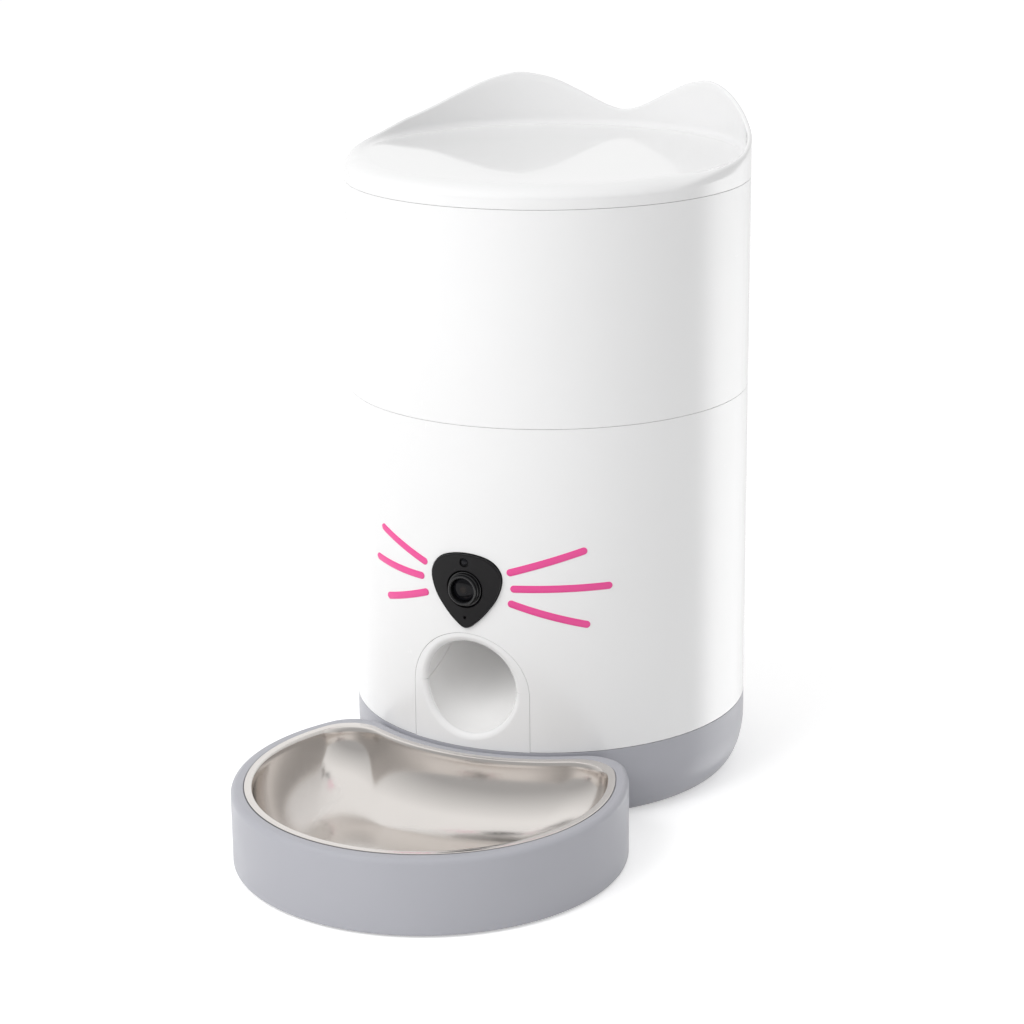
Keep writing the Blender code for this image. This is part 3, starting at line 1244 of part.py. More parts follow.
clear_scene()
PARTS = new_collection("camera_pet_feeder")
TOOLS = new_collection("boolean_tools")
WHITE = plastic("white_gloss", (0.88, 0.88, 0.88), 0.12)
GREY = plastic("grey_satin", (0.36, 0.37, 0.40), 0.35)
LIGHT_GREY = plastic("light_grey_plastic", (0.62, 0.63, 0.64), 0.4)
BLACK = plastic("black_matte", (0.012, 0.012, 0.014), 0.4)
GLOSS_BLACK = plastic("black_gloss", (0.008, 0.008, 0.010), 0.12)
LENS_GLASS = plastic("lens_glass", (0.010, 0.011, 0.016), 0.03)
PINK = plastic("pink_print", (0.83, 0.10, 0.36), 0.35)
STEEL = plastic("satin_steel", (0.68, 0.65, 0.61), 0.25, metallic=1.0)
METAL = plastic("zinc_metal", (0.55, 0.55, 0.56), 0.35, metallic=1.0)
BRASS = plastic("brass", (0.72, 0.55, 0.26), 0.3, metallic=1.0)
RUBBER = plastic("rubber", (0.05, 0.05, 0.055), 0.8)
SILICONE = plastic("silicone", (0.75, 0.76, 0.77), 0.6)
NYLON = plastic("nylon", (0.80, 0.78, 0.72), 0.45)
ROTOR_PLASTIC = plastic("rotor_plastic", (0.70, 0.71, 0.72), 0.4)
BOARD = plastic("circuit_board", (0.02, 0.16, 0.07), 0.45)
CLEAR = plastic("tank_plastic", (0.80, 0.80, 0.80), 0.2)
FABRIC = plastic("desiccant_fleece", (0.85, 0.85, 0.83), 0.9)

TONGUE_Z = FOOT_PROUD + TONGUE_HEIGHT + TONGUE_THICKNESS / 2
REAR_BOARD_Z = (INLET_Z + BUTTON_Z) / 2
BOSS_SPOTS = around(4, BOSS_CIRCLE, math.pi / 4)
FOOT_SPOTS = around(4, FOOT_CIRCLE, math.pi / 4)
BOARD_POSTS = [
    (x * (BOARD_WIDTH / 2 - BOARD_POST_INSET), BOARD_OFFSET + y * (BOARD_DEPTH / 2 - BOARD_POST_INSET))
    for x in (-1, 1) for y in (-1, 1)
]

AXIS = bpy.data.objects.new("body_axis", None)
PARTS.objects.link(AXIS)
AXIS.location = (0, BODY_Y, 0)

base_shell(AXIS)
base_plate(AXIS)
feet_and_screws(AXIS)
lower_body_shell(AXIS)
nose_panel(AXIS)
camera_parts(AXIS)
whiskers(AXIS)
chute_cover(AXIS)
outlet_chute(AXIS)
dispenser_deck(AXIS)
metering_guard(AXIS)
shaft_bush(AXIS)
rotor_parts(AXIS)
motor_parts(AXIS)
electronics(AXIS)
rear_parts(AXIS)
hopper_shell(AXIS)
food_tank(AXIS)
tank_funnel(AXIS)
lid(AXIS)
lid_fittings(AXIS)
bowl_holder(AXIS)
steel_dish(AXIS)
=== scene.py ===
"""Looks of a pet feeder with a camera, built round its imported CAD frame.

Lengths are in metres, in the frame's own axes: +Z is up and the bowl is at -Y. Round pieces are made
about the body's axis, which stands at AXIS_Y.
"""

import math

import bmesh
import bpy
from mathutils import Matrix, Vector

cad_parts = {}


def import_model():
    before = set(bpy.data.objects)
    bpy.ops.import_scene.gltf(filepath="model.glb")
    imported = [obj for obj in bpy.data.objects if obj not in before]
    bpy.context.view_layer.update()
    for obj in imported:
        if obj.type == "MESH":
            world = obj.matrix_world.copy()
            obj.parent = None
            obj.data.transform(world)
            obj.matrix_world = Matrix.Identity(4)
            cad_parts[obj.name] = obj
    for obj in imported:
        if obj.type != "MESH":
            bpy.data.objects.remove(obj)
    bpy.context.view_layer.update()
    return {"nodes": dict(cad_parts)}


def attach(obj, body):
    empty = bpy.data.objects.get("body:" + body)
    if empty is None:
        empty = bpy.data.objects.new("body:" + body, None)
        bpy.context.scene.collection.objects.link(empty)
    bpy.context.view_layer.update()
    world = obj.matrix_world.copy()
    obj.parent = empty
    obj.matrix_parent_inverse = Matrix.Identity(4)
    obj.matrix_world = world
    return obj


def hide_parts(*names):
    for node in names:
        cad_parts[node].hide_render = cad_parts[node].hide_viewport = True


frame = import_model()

# Sizes of the CAD frame that the finer pieces repeat
FIT = 0.0003
SEAM = 0.0004
OVERRUN = 0.005
PROUD = 0.012
BODY_RADIUS = 0.0975
WALL = 0.0025
INNER_RADIUS = BODY_RADIUS - WALL
FOOT_PROUD = 0.001
BASE_TOP = 0.0374
MID_SEAM = 0.1957
LID_SEAM = 0.2967
LID_TOP = 0.3069
DOCK_DISTANCE = 0.1387
HOLDER_RADIUS = 0.0920
AXIS_Y = (DOCK_DISTANCE + HOLDER_RADIUS - BODY_RADIUS) / 2
NEST_RADIUS = BODY_RADIUS + 0.0008
PLATE_TOP = FOOT_PROUD + 0.0025
DECK_TOP = MID_SEAM - 0.006
WELL_FLOOR = DECK_TOP - 0.030
WELL_UNDERSIDE = WELL_FLOOR - 0.0025
MOUTH_Z = BASE_TOP + 0.0298
MOUTH_RADIUS = 0.0228
MOUTH_FILLET = 0.0036
ARCH_HALF_WIDTH = 0.0300
ARCH_HEIGHT = 0.0573
SPIGOT_HEIGHT = 0.004
NOSE_Z = BASE_TOP + 0.0605
NOSE_WIDTH = 0.0355
NOSE_HEIGHT = 0.0362
LENS_Z = NOSE_Z + 0.0192
NOSE_FACE = BODY_RADIUS + 0.0018
SENSOR_Z = LENS_Z + 0.0130
PINHOLE_Z = LENS_Z - 0.0140
SCREW_CIRCLE = 0.0745
BASE_FOOT_CIRCLE = 0.058
STAND_FOOT_CIRCLE = 0.074
TONGUE_Z = FOOT_PROUD + 0.0105
INLET_Z = BASE_TOP + 0.016
BUTTON_Z = BASE_TOP + 0.036
DROP_DISTANCE = 0.033
DROP_RADIUS = 0.0146
HOLDER_TOP = 0.0370
HOLDER_CORNER = 0.018
DISH_TOP = 0.0373
DISH_SWEEP = 0.030
RIM_INSET = 0.0062
GAUGE = 0.0008
LID_ROUND_WIDTH = 0.012
LID_ROUND_HEIGHT = 0.006

# Half of the gap that shows at a seam, and the rounding of its edges
HAIR = 0.00009
CRISP = 0.00014

# How finely round pieces are cut
STEPS = 192
SMALL_STEPS = 48
SMALLER_STEPS = 24
PIPE_RINGS = 36
PIPE_STEPS = 72
CORNER_STEPS = 3
SHARP = math.radians(38)

# Height of the ears, as (degrees from the rear, share), and half of the nose's outline from its foot up
EAR_SHARES = (
    (0, 0.31), (5.5, 0.39), (10.6, 0.54), (15.7, 0.70), (21.5, 0.865), (27, 0.955), (33, 1.0),
    (41.3, 0.90), (52.3, 0.65), (61, 0.45), (71, 0.295), (81, 0.215), (91.7, 0.175), (104, 0.138),
    (113, 0.09), (124, 0.0),
)
EAR_HEIGHT = 0.0266
EAR_BLEND_HEIGHT = 0.008
NOSE_SHARES = (
    (0, 0), (0.30, 0.09), (0.60, 0.245), (0.86, 0.43), (1.0, 0.65), (0.92, 0.82), (0.60, 0.95), (0, 1.0),
)


# Mesh helpers


def rounded(corners, closed=True, steps=5):
    """A line through (a, b, radius) corners, with each corner rounded to its radius."""
    line = []
    count = len(corners)
    for i, (a, b, radius) in enumerate(corners):
        if radius <= 0 or (not closed and i in (0, count - 1)):
            line.append((a, b))
            continue
        here = Vector((a, b))
        back = Vector(corners[i - 1][:2]) - here
        ahead = Vector(corners[(i + 1) % count][:2]) - here
        half = back.angle(ahead) / 2
        reach = min(radius / math.tan(half), back.length * 0.48, ahead.length * 0.48)
        back.normalize()
        ahead.normalize()
        centre = here + (back + ahead).normalized() * (reach / math.cos(half))
        start = here + back * reach - centre
        end = here + ahead * reach - centre
        sweep = math.atan2(start.x * end.y - start.y * end.x, start.dot(end))
        for k in range(steps + 1):
            turn = sweep * k / steps
            c, s = math.cos(turn), math.sin(turn)
            line.append((centre.x + start.x * c - start.y * s, centre.y + start.x * s + start.y * c))
    return line


def arc(centre, radius, start, end, steps, height=None):
    """Points on an arc, or on an ellipse's arc where a height differs from the radius."""
    rise = radius if height is None else height
    turns = [start + (end - start) * i / steps for i in range(steps + 1)]
    return [(centre[0] + radius * math.cos(a), centre[1] + rise * math.sin(a)) for a in turns]


def smooth_loop(points, steps):
    """A closed Catmull-Rom line through points."""
    count = len(points)
    line = []
    for i in range(count):
        a, b, c, d = (Vector(points[(i + k) % count]) for k in (-1, 0, 1, 2))
        for step in range(steps):
            t = step / steps
            bend = (2 * a - 5 * b + 4 * c - d) * t * t + (3 * b - a - 3 * c + d) * t ** 3
            line.append(tuple(b + ((c - a) * t + bend) / 2))
    return line


def lofted(name, rings, loop=False, matrix=None):
    """A closed body through rings of points that match one to one. A loop joins last to first."""
    count = len(rings[0])
    verts = [tuple(p) for ring in rings for p in ring]
    rows = list(range(len(rings)))
    pairs = list(zip(rows, rows[1:] + ([0] if loop else [])))
    faces = []
    for a, b in pairs:
        for i in range(count):
            j = (i + 1) % count
            faces.append((a * count + i, a * count + j, b * count + j, b * count + i))
    if not loop:
        faces.append(tuple(range(count)))
        faces.append(tuple(rows[-1] * count + i for i in reversed(range(count))))
    mesh = bpy.data.meshes.new(name)
    mesh.from_pydata(verts, [], faces)
    shape = bmesh.new()
    shape.from_mesh(mesh)
    if matrix is not None:
        shape.transform(matrix)
    bmesh.ops.remove_doubles(shape, verts=shape.verts, dist=1e-7)
    bmesh.ops.recalc_face_normals(shape, faces=shape.faces)
    shape.to_mesh(mesh)
    shape.free()
    obj = bpy.data.objects.new(name, mesh)
    bpy.context.scene.collection.objects.link(obj)
    return obj


def placed(x=0.0, y=AXIS_Y, z=0.0, facing="up"):
    """Where a turned piece's own Z axis stands and points."""
    turn = {"up": 0, "front": math.pi / 2, "rear": -math.pi / 2}[facing]
    return Matrix.Translation((x, y, z)) @ Matrix.Rotation(turn, 4, "X")


def turned(name, profile, steps=STEPS, loop=False, matrix=None):
    """A solid of revolution from (radius, height) points."""
    turns = [2 * math.pi * (i + 0.5) / steps for i in range(steps)]
    rings = [[(r * math.cos(a), r * math.sin(a), z) for a in turns] for r, z in profile]
    return lofted(name, rings, loop, placed() if matrix is None else matrix)


def disc(name, radius, top, bottom, round_off=0.0, steps=SMALL_STEPS, matrix=None):
    """A round plate or rod with rounded edges."""
    corners = [(0, top, 0), (radius, top, round_off), (radius, bottom, round_off), (0, bottom, 0)]
    return turned(name, rounded(corners, closed=False, steps=4), steps, matrix=matrix)


def cuboid(name, size, centre, round_off=0.0, matrix=None):
    """A block with rounded upright and level edges."""
    w, d = size[0] / 2, size[1] / 2
    rings = []
    levels = [(0, 0)]
    if round_off:
        turns = [i * math.pi / 2 / CORNER_STEPS for i in range(CORNER_STEPS + 1)]
        levels = [(round_off * (1 - math.sin(a)), round_off * (1 - math.cos(a))) for a in turns]
    heights = [(inset, -size[2] / 2 + rise) for inset, rise in levels]
    heights += [(inset, size[2] / 2 - rise) for inset, rise in reversed(levels)]
    for inset, z in heights:
        a, b = w - inset, d - inset
        outline = rounded([(x, y, max(round_off, 1e-5)) for x, y in ((a, -b), (a, b), (-a, b), (-a, -b))])
        rings.append([(x, y, z) for x, y in outline])
    shift = Matrix.Translation(centre)
    return lofted(name, rings, matrix=shift if matrix is None else matrix @ shift)


def boolean(obj, tool, how="DIFFERENCE"):
    """Cuts, joins or trims obj with tool, which is used up."""
    step = obj.modifiers.new("cut", "BOOLEAN")
    step.operation = how
    step.object = tool
    step.solver = "EXACT"
    bpy.context.view_layer.update()
    graph = bpy.context.evaluated_depsgraph_get()
    mesh = bpy.data.meshes.new_from_object(obj.evaluated_get(graph))
    obj.modifiers.clear()
    obj.data = mesh
    bpy.data.objects.remove(tool)
    return obj


def wall_prism(name, outline_at, offsets, surface, height, side=-1):
    """A prism through the round wall whose depths follow the surface. side is -1 in front, 1 behind."""
    rings = []
    for grow, depth in offsets:
        ring = []
        for x, z in outline_at(grow):
            y = side * (math.sqrt(surface ** 2 - x ** 2) - depth)
            ring.append((x, AXIS_Y + y, height + z))
        rings.append(ring)
    return lofted(name, rings)


def edge(radius, deep, grow=0.0, sign=1, steps=4):
    """Offsets for wall_prism: an opening's rounded edge (sign 1), or a panel's (sign -1)."""
    curve = []
    for i in range(steps + 1):
        a = i * math.pi / 2 / steps
        curve.append((grow + sign * radius * (1 - math.sin(a)), radius * (1 - math.cos(a))))
    return [(curve[0][0], -PROUD), *curve, (grow, deep)]


def circle_at(radius, steps=SMALL_STEPS):
    """A circle's outline, which grows by what it is called with."""
    turns = [2 * math.pi * (i + 0.5) / steps for i in range(steps)]
    return lambda grow: [((radius + grow) * math.cos(a), (radius + grow) * math.sin(a)) for a in turns]


def smooth(obj, angle=SHARP, wall=None):
    """Smooth shading with sharp edges kept. On a round wall of radius wall, normals point straight out."""
    mesh = obj.data
    mesh.shade_smooth()
    mesh.set_sharp_from_angle(angle=angle)
    if wall is None:
        return obj
    normals = [c.vector.copy() for c in mesh.corner_normals]
    for face in mesh.polygons:
        for corner in face.loop_indices:
            spot = mesh.vertices[mesh.loops[corner].vertex_index].co
            out = Vector((spot.x, spot.y - AXIS_Y, 0))
            radius = out.length
            if abs(radius - wall) < 3e-5 and face.normal.dot(out) > 0.35 * radius:
                normals[corner] = out / radius
    mesh.normals_split_custom_set(normals)
    return obj


def piece(obj, body, material, slot, *nodes):
    """Gives a finished mesh its material and its body, and hides the CAD nodes that it stands for. The slot is not
    used.
    """
    obj.data.materials.clear()
    obj.data.materials.append(material)
    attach(obj, body)
    if nodes:
        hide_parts(*nodes)
    return obj


# Materials


class Nodes:
    """A material's node tree with short ways to add what the finishes share."""

    def __init__(self, name):
        self.material = bpy.data.materials.new(name)
        self.material.use_nodes = True
        self.tree = self.material.node_tree
        self.shader = self.tree.nodes["Principled BSDF"]
        self.where = self.tree.nodes.new("ShaderNodeTexCoord").outputs["Object"]

    def add(self, kind, **inputs):
        node = self.tree.nodes.new(kind)
        for name, value in inputs.items():
            socket = node.inputs[name.replace("_", " ")]
            if isinstance(value, bpy.types.NodeSocket):
                self.tree.links.new(value, socket)
            else:
                socket.default_value = value
        return node

    def noise(self, scale, detail=2.0, roughness=0.5, stretch=None):
        where = self.where
        if stretch:
            mapping = self.add("ShaderNodeMapping", Vector=where, Scale=stretch)
            where = mapping.outputs[0]
        return self.add("ShaderNodeTexNoise", Vector=where, Scale=scale, Detail=detail,
                        Roughness=roughness).outputs["Fac"]

    def spread(self, value, low, high, start=0.3, end=0.7):
        """A value that runs from low to high as another runs from start to end."""
        node = self.add("ShaderNodeMapRange", Value=value)
        node.inputs[1].default_value = start
        node.inputs[2].default_value = end
        node.inputs[3].default_value = low
        node.inputs[4].default_value = high
        return node.outputs[0]

    def math(self, how, a, b):
        node = self.tree.nodes.new("ShaderNodeMath")
        node.operation = how
        for i, value in enumerate((a, b)):
            if isinstance(value, bpy.types.NodeSocket):
                self.tree.links.new(value, node.inputs[i])
            else:
                node.inputs[i].default_value = value
        return node.outputs[0]

    def blend(self, factor, a, b):
        node = self.tree.nodes.new("ShaderNodeMix")
        node.data_type = "RGBA"
        for socket, value in ((node.inputs[0], factor), (node.inputs[6], a), (node.inputs[7], b)):
            if isinstance(value, bpy.types.NodeSocket):
                self.tree.links.new(value, socket)
            else:
                socket.default_value = value if isinstance(value, float) else (*value, 1)
        return node.outputs[2]

    def link(self, value, name):
        self.tree.links.new(value, self.shader.inputs[name])

    def bumps(self, *layers):
        """Stacks bumps of (height, depth in metres)."""
        normal = None
        for height, depth in layers:
            node = self.add("ShaderNodeBump", Height=height, Strength=1.0, Distance=depth)
            if normal is not None:
                self.tree.links.new(normal, node.inputs["Normal"])
            normal = node.outputs[0]
        self.link(normal, "Normal")

    def set(self, **values):
        for name, value in values.items():
            self.shader.inputs[name.replace("_", " ")].default_value = value


def tone(colour, share):
    """A colour made darker or lighter by a share."""
    return tuple(min(1.0, c * share) for c in colour)


def plastic(name, colour, rough, grain=1800.0, depth=8e-6, flow=70.0, flow_depth=0.0, vary=0.02, scuff=0.03,
            **extra):
    """Moulded plastic: slight colour drift, uneven gloss with faint scuffs, and a grain in the surface."""
    n = Nodes(name)
    drift = n.noise(14.0, 3.0)
    wear = n.noise(420.0, 6.0, 0.7, (1.0, 1.0, 0.35))
    n.link(n.blend(n.spread(drift, 0.0, 1.0), tone(colour, 1 - vary), tone(colour, 1 + vary)), "Base Color")
    base = n.spread(n.noise(48.0, 4.0), rough * 0.88, rough * 1.12)
    n.link(n.math("ADD", base, n.spread(wear, 0.0, scuff, 0.56, 0.75)), "Roughness")
    layers = [(n.noise(grain, 2.0), depth)]
    if flow_depth:
        layers.append((n.noise(flow, 2.0), flow_depth))
    n.bumps(*layers)
    n.set(**extra)
    return n.material


def metal(name, colour, rough, stretch=(1.0, 1.0, 1.0), scale=900.0, depth=2e-6, vary=0.05):
    """Metal with fine drawn lines, uneven polish and a little tarnish."""
    n = Nodes(name)
    lines = n.noise(scale, 5.0, 0.65, stretch)
    drift = n.noise(26.0, 4.0)
    n.link(n.blend(n.spread(drift, 0.0, 1.0), tone(colour, 1 - vary), tone(colour, 1 + vary)), "Base Color")
    n.link(n.math("ADD", n.spread(lines, rough * 0.8, rough * 1.2), n.spread(drift, 0.0, 0.04)), "Roughness")
    n.bumps((lines, depth))
    n.set(Metallic=1.0)
    return n.material


def circuit_board():
    """Green solder mask with copper tracks under it and small tinned pads."""
    n = Nodes("circuit_board")
    cells = n.add("ShaderNodeTexVoronoi", Vector=n.where, Scale=420.0)
    cells.feature = "F1"
    cells.distance = "MANHATTAN"
    pads = n.spread(cells.outputs["Distance"], 1.0, 0.0, 0.16, 0.19)
    wave = n.add("ShaderNodeTexWave", Vector=n.where, Scale=260.0, Distortion=9.0, Detail=1.0)
    tracks = n.spread(wave.outputs["Fac"], 0.0, 1.0, 0.45, 0.55)
    mask = n.blend(tracks, (0.010, 0.095, 0.040), (0.022, 0.150, 0.062))
    n.link(n.blend(pads, mask, (0.62, 0.60, 0.55)), "Base Color")
    n.link(n.spread(pads, 0.42, 0.25, 0.0, 1.0), "Roughness")
    n.bumps((tracks, 2e-5), (n.noise(1500.0), 6e-6))
    return n.material


def fleece():
    """Matted fibres of the desiccant pack."""
    n = Nodes("desiccant_fleece")
    fibres = n.noise(900.0, 6.0, 0.75, (1.0, 0.25, 1.0))
    n.link(n.blend(n.spread(fibres, 0.0, 1.0), (0.70, 0.70, 0.67), (0.88, 0.88, 0.86)), "Base Color")
    n.link(n.spread(fibres, 0.85, 0.98), "Roughness")
    n.bumps((fibres, 2e-4), (n.noise(160.0, 3.0), 3e-4))
    n.set(Sheen_Weight=0.4, Sheen_Roughness=0.5)
    return n.material


def coated_lens():
    """Dark front glass with a painted soft amber highlight at its centre, a slightly lighter bluish ring further
    out, and a faint violet coating.
    """
    n = Nodes("lens_glass")
    split = n.add("ShaderNodeSeparateXYZ", Vector=n.where)
    x = split.outputs[0]
    z = n.math("SUBTRACT", split.outputs[2], LENS_Z)
    radius = n.math("SQRT", n.math("ADD", n.math("MULTIPLY", x, x), n.math("MULTIPLY", z, z)), 0.0)
    # Painted highlight: the glass is coloured lighter and amber within about 2 mm of its centre.
    painted_highlight_fade = n.spread(radius, 0.0, 1.0, 0.0009, 0.0022)
    ring = n.spread(radius, 0.0, 1.0, 0.0038, 0.0046)
    inner = n.blend(painted_highlight_fade, (0.016, 0.012, 0.010), (0.003, 0.003, 0.004))
    n.link(n.blend(ring, inner, (0.007, 0.007, 0.009)), "Base Color")
    n.link(n.spread(n.noise(300.0, 4.0, 0.6), 0.02, 0.05), "Roughness")
    n.bumps((n.noise(120.0), 1e-6))
    n.set(Coat_Weight=0.12, Coat_Roughness=0.02, Coat_Tint=(0.86, 0.82, 1.0, 1), Specular_IOR_Level=0.12)
    return n.material


# The lid mirrors its ears crisply, and the walls are softer
WHITE, WALL_WHITE = (
    plastic(name, (0.87, 0.87, 0.872), rough, grain=900.0, depth=1.2e-6, flow=55.0, flow_depth=4e-6, vary=0.006,
            scuff=0.02, Coat_Weight=0.6, Coat_Roughness=coat_rough, Specular_IOR_Level=0.4)
    for name, rough, coat_rough in (("white_gloss", 0.10, 0.03), ("white_wall", 0.24, 0.20))
)
PALE = plastic("white_satin", (0.95, 0.945, 0.94), 0.32, grain=1500.0, depth=6e-6, vary=0.006)
GREY = plastic("grey_satin", (0.440, 0.443, 0.480), 0.36, grain=2600.0, depth=1.2e-5, vary=0.02, scuff=0.05,
               Specular_IOR_Level=0.28)
LIGHT_GREY = plastic("light_grey_plastic", (0.62, 0.63, 0.64), 0.42, grain=2200.0, depth=1.2e-5)
BLACK = plastic("black_matte", (0.0075, 0.0070, 0.0078), 0.40, grain=2400.0, depth=1.4e-5, vary=0.12,
                Specular_IOR_Level=0.22)
GLOSS_BLACK = plastic("black_gloss", (0.009, 0.009, 0.010), 0.16, grain=1600.0, depth=3e-6, vary=0.10)
PINK = plastic("pink_print", (0.83, 0.072, 0.31), 0.34, grain=2600.0, depth=6e-6, vary=0.05)
RUBBER = plastic("rubber", (0.050, 0.050, 0.054), 0.78, grain=1300.0, depth=5e-5, vary=0.15)
SILICONE = plastic("silicone", (0.72, 0.73, 0.74), 0.55, grain=1400.0, depth=1.5e-5, Sheen_Weight=0.2)
NYLON = plastic("nylon", (0.78, 0.75, 0.68), 0.46, grain=1700.0, depth=1.5e-5)
ROTOR = plastic("rotor_plastic", (0.68, 0.69, 0.70), 0.45, grain=1900.0, depth=1.2e-5)
TANK = plastic("tank_plastic", (0.78, 0.79, 0.80), 0.24, grain=1500.0, depth=4e-6, flow=60.0, flow_depth=1e-5)
STEEL = metal("satin_steel", (0.76, 0.725, 0.695), 0.15, (1.0, 1.0, 0.2), 900.0, 1e-7, 0.02)
METAL = metal("zinc_metal", (0.55, 0.55, 0.56), 0.34, (0.2, 1.0, 1.0), 1200.0, 3e-6)
BRASS = metal("brass", (0.72, 0.54, 0.25), 0.30, (1.0, 1.0, 0.15), 1200.0, 3e-6)
BOARD = circuit_board()
FLEECE = fleece()
LENS_GLASS = coated_lens()


# Body: base, lower wall, outlet and hopper


def base_ring():
    flat = BODY_RADIUS - 0.012
    curve_top = FOOT_PROUD + 0.025
    inner = BODY_RADIUS - 0.0048
    plate = 0.078
    ledge = PLATE_TOP + FIT
    outside = arc((flat, curve_top), 0.012, 0, -math.pi / 2, 24, 0.025)
    inside = arc((flat, curve_top), inner - flat, -math.pi / 2, 0, 12, curve_top - ledge - WALL)
    lip = rounded([
        (inner, BASE_TOP - 0.004, 0), (inner, BASE_TOP + SPIGOT_HEIGHT, 0.0004),
        (inner + 0.002, BASE_TOP + SPIGOT_HEIGHT, 0.0004),
        (inner + 0.002, BASE_TOP - HAIR, 0), (BODY_RADIUS, BASE_TOP - HAIR, 0.0003),
        (BODY_RADIUS, curve_top + 0.002, 0),
    ], closed=False)
    foot = [(plate + FIT, FOOT_PROUD), (plate + FIT, ledge), (plate - 0.009, ledge), (plate - 0.009, ledge + WALL)]
    shell = turned("base_ring", [*lip, *outside, *foot, *inside], loop=True)
    for i in range(4):
        a = math.pi / 4 + i * math.pi / 2
        spot = placed(SCREW_CIRCLE * math.cos(a), AXIS_Y + SCREW_CIRCLE * math.sin(a))
        boss = disc("boss", 0.004, ledge + WALL + 0.010, ledge + WALL / 2, steps=SMALLER_STEPS, matrix=spot)
        boolean(shell, boss, "UNION")
        boolean(shell, disc("boss_hole", 0.0016, PLATE_TOP + 0.011, FOOT_PROUD, steps=SMALLER_STEPS, matrix=spot))
    slot = cuboid("slot", (0.0306, 0.032, 0.0056), (0, AXIS_Y - NEST_RADIUS, TONGUE_Z), 0.0008)
    boolean(shell, slot)
    piece(smooth(shell, wall=BODY_RADIUS), "feeder_body", GREY, "grey_satin", "base_shell")


def nose_outline(grow):
    """The nose's outline from its foot up, grown all round."""
    half = NOSE_WIDTH / 2 + grow
    right = [(x * half, z * (NOSE_HEIGHT + 2 * grow) - grow) for x, z in NOSE_SHARES]
    left = [(-x, z) for x, z in reversed(right[1:-1])]
    return smooth_loop(right + left, 8)


def arch_outline(below):
    """The arch's outline, which reaches so far below its foot and grows by what it is called with."""
    def outline(grow):
        half = ARCH_HALF_WIDTH + grow
        spring = ARCH_HEIGHT - ARCH_HALF_WIDTH
        return [(-half, -below), (half, -below), *arc((0, spring), half, 0, math.pi, 72)]
    return outline


def lower_wall():
    ledge = DECK_TOP - 0.0028
    shell = turned("lower_wall", rounded([
        (BODY_RADIUS, MID_SEAM - HAIR, CRISP), (BODY_RADIUS, BASE_TOP + HAIR, 0.0003),
        (INNER_RADIUS, BASE_TOP + HAIR, 0.0003), (INNER_RADIUS, ledge - 0.005, 0),
        (INNER_RADIUS - 0.004, ledge - 0.00125, 0), (INNER_RADIUS - 0.004, ledge, 0), (INNER_RADIUS, ledge, 0),
        (INNER_RADIUS, MID_SEAM - HAIR, CRISP),
    ], steps=3), loop=True)
    boolean(shell, wall_prism("nose", nose_outline, edge(0.0003, 0.009, FIT), BODY_RADIUS, NOSE_Z))
    boolean(shell, wall_prism("arch", arch_outline(OVERRUN), edge(CRISP, 0.009, 1.7 * HAIR), BODY_RADIUS, BASE_TOP))
    boolean(shell, wall_prism("inlet", circle_at(0.0063), edge(0.0004, 0.006), BODY_RADIUS, INLET_Z, 1))
    boolean(shell, wall_prism("button", circle_at(0.0048), edge(0.0004, 0.006), BODY_RADIUS, BUTTON_Z, 1))
    for side in (-1, 1):
        spot = placed(side * 0.0125, AXIS_Y, BASE_TOP + 0.026, "rear")
        boolean(shell, disc("post", 0.0022, 0.0953, 0.0838, steps=SMALLER_STEPS, matrix=spot), "UNION")
    piece(smooth(shell, wall=BODY_RADIUS), "feeder_body", WALL_WHITE, "white_gloss", "lower_body_shell")


def outlet_cover():
    """Arched panel with the filleted mouth. Its outer face is the body's own round."""
    top = BASE_TOP + 0.064
    shell = turned("outlet_cover", [
        (BODY_RADIUS, top), (BODY_RADIUS, BASE_TOP - 0.005), (INNER_RADIUS, BASE_TOP - 0.005), (INNER_RADIUS, top),
    ], loop=True)
    prism = wall_prism("arch", arch_outline(-HAIR), edge(CRISP, 0.009, 0.0, -1), BODY_RADIUS, BASE_TOP)
    boolean(shell, prism, "INTERSECT")
    mouth = edge(MOUTH_FILLET, 0.008, steps=12)
    boolean(shell, wall_prism("mouth", circle_at(MOUTH_RADIUS, 120), mouth, BODY_RADIUS, MOUTH_Z))
    line = wall_prism("parting", circle_at(MOUTH_RADIUS + 0.0005, 120), mouth, BODY_RADIUS, MOUTH_Z)
    level = cuboid("level", (0.060, 0.040, 0.00026), (0, AXIS_Y - BODY_RADIUS, MOUTH_Z))
    boolean(shell, boolean(line, level, "INTERSECT"))
    piece(smooth(shell, wall=BODY_RADIUS), "feeder_body", WALL_WHITE, "white_gloss", "chute_cover")


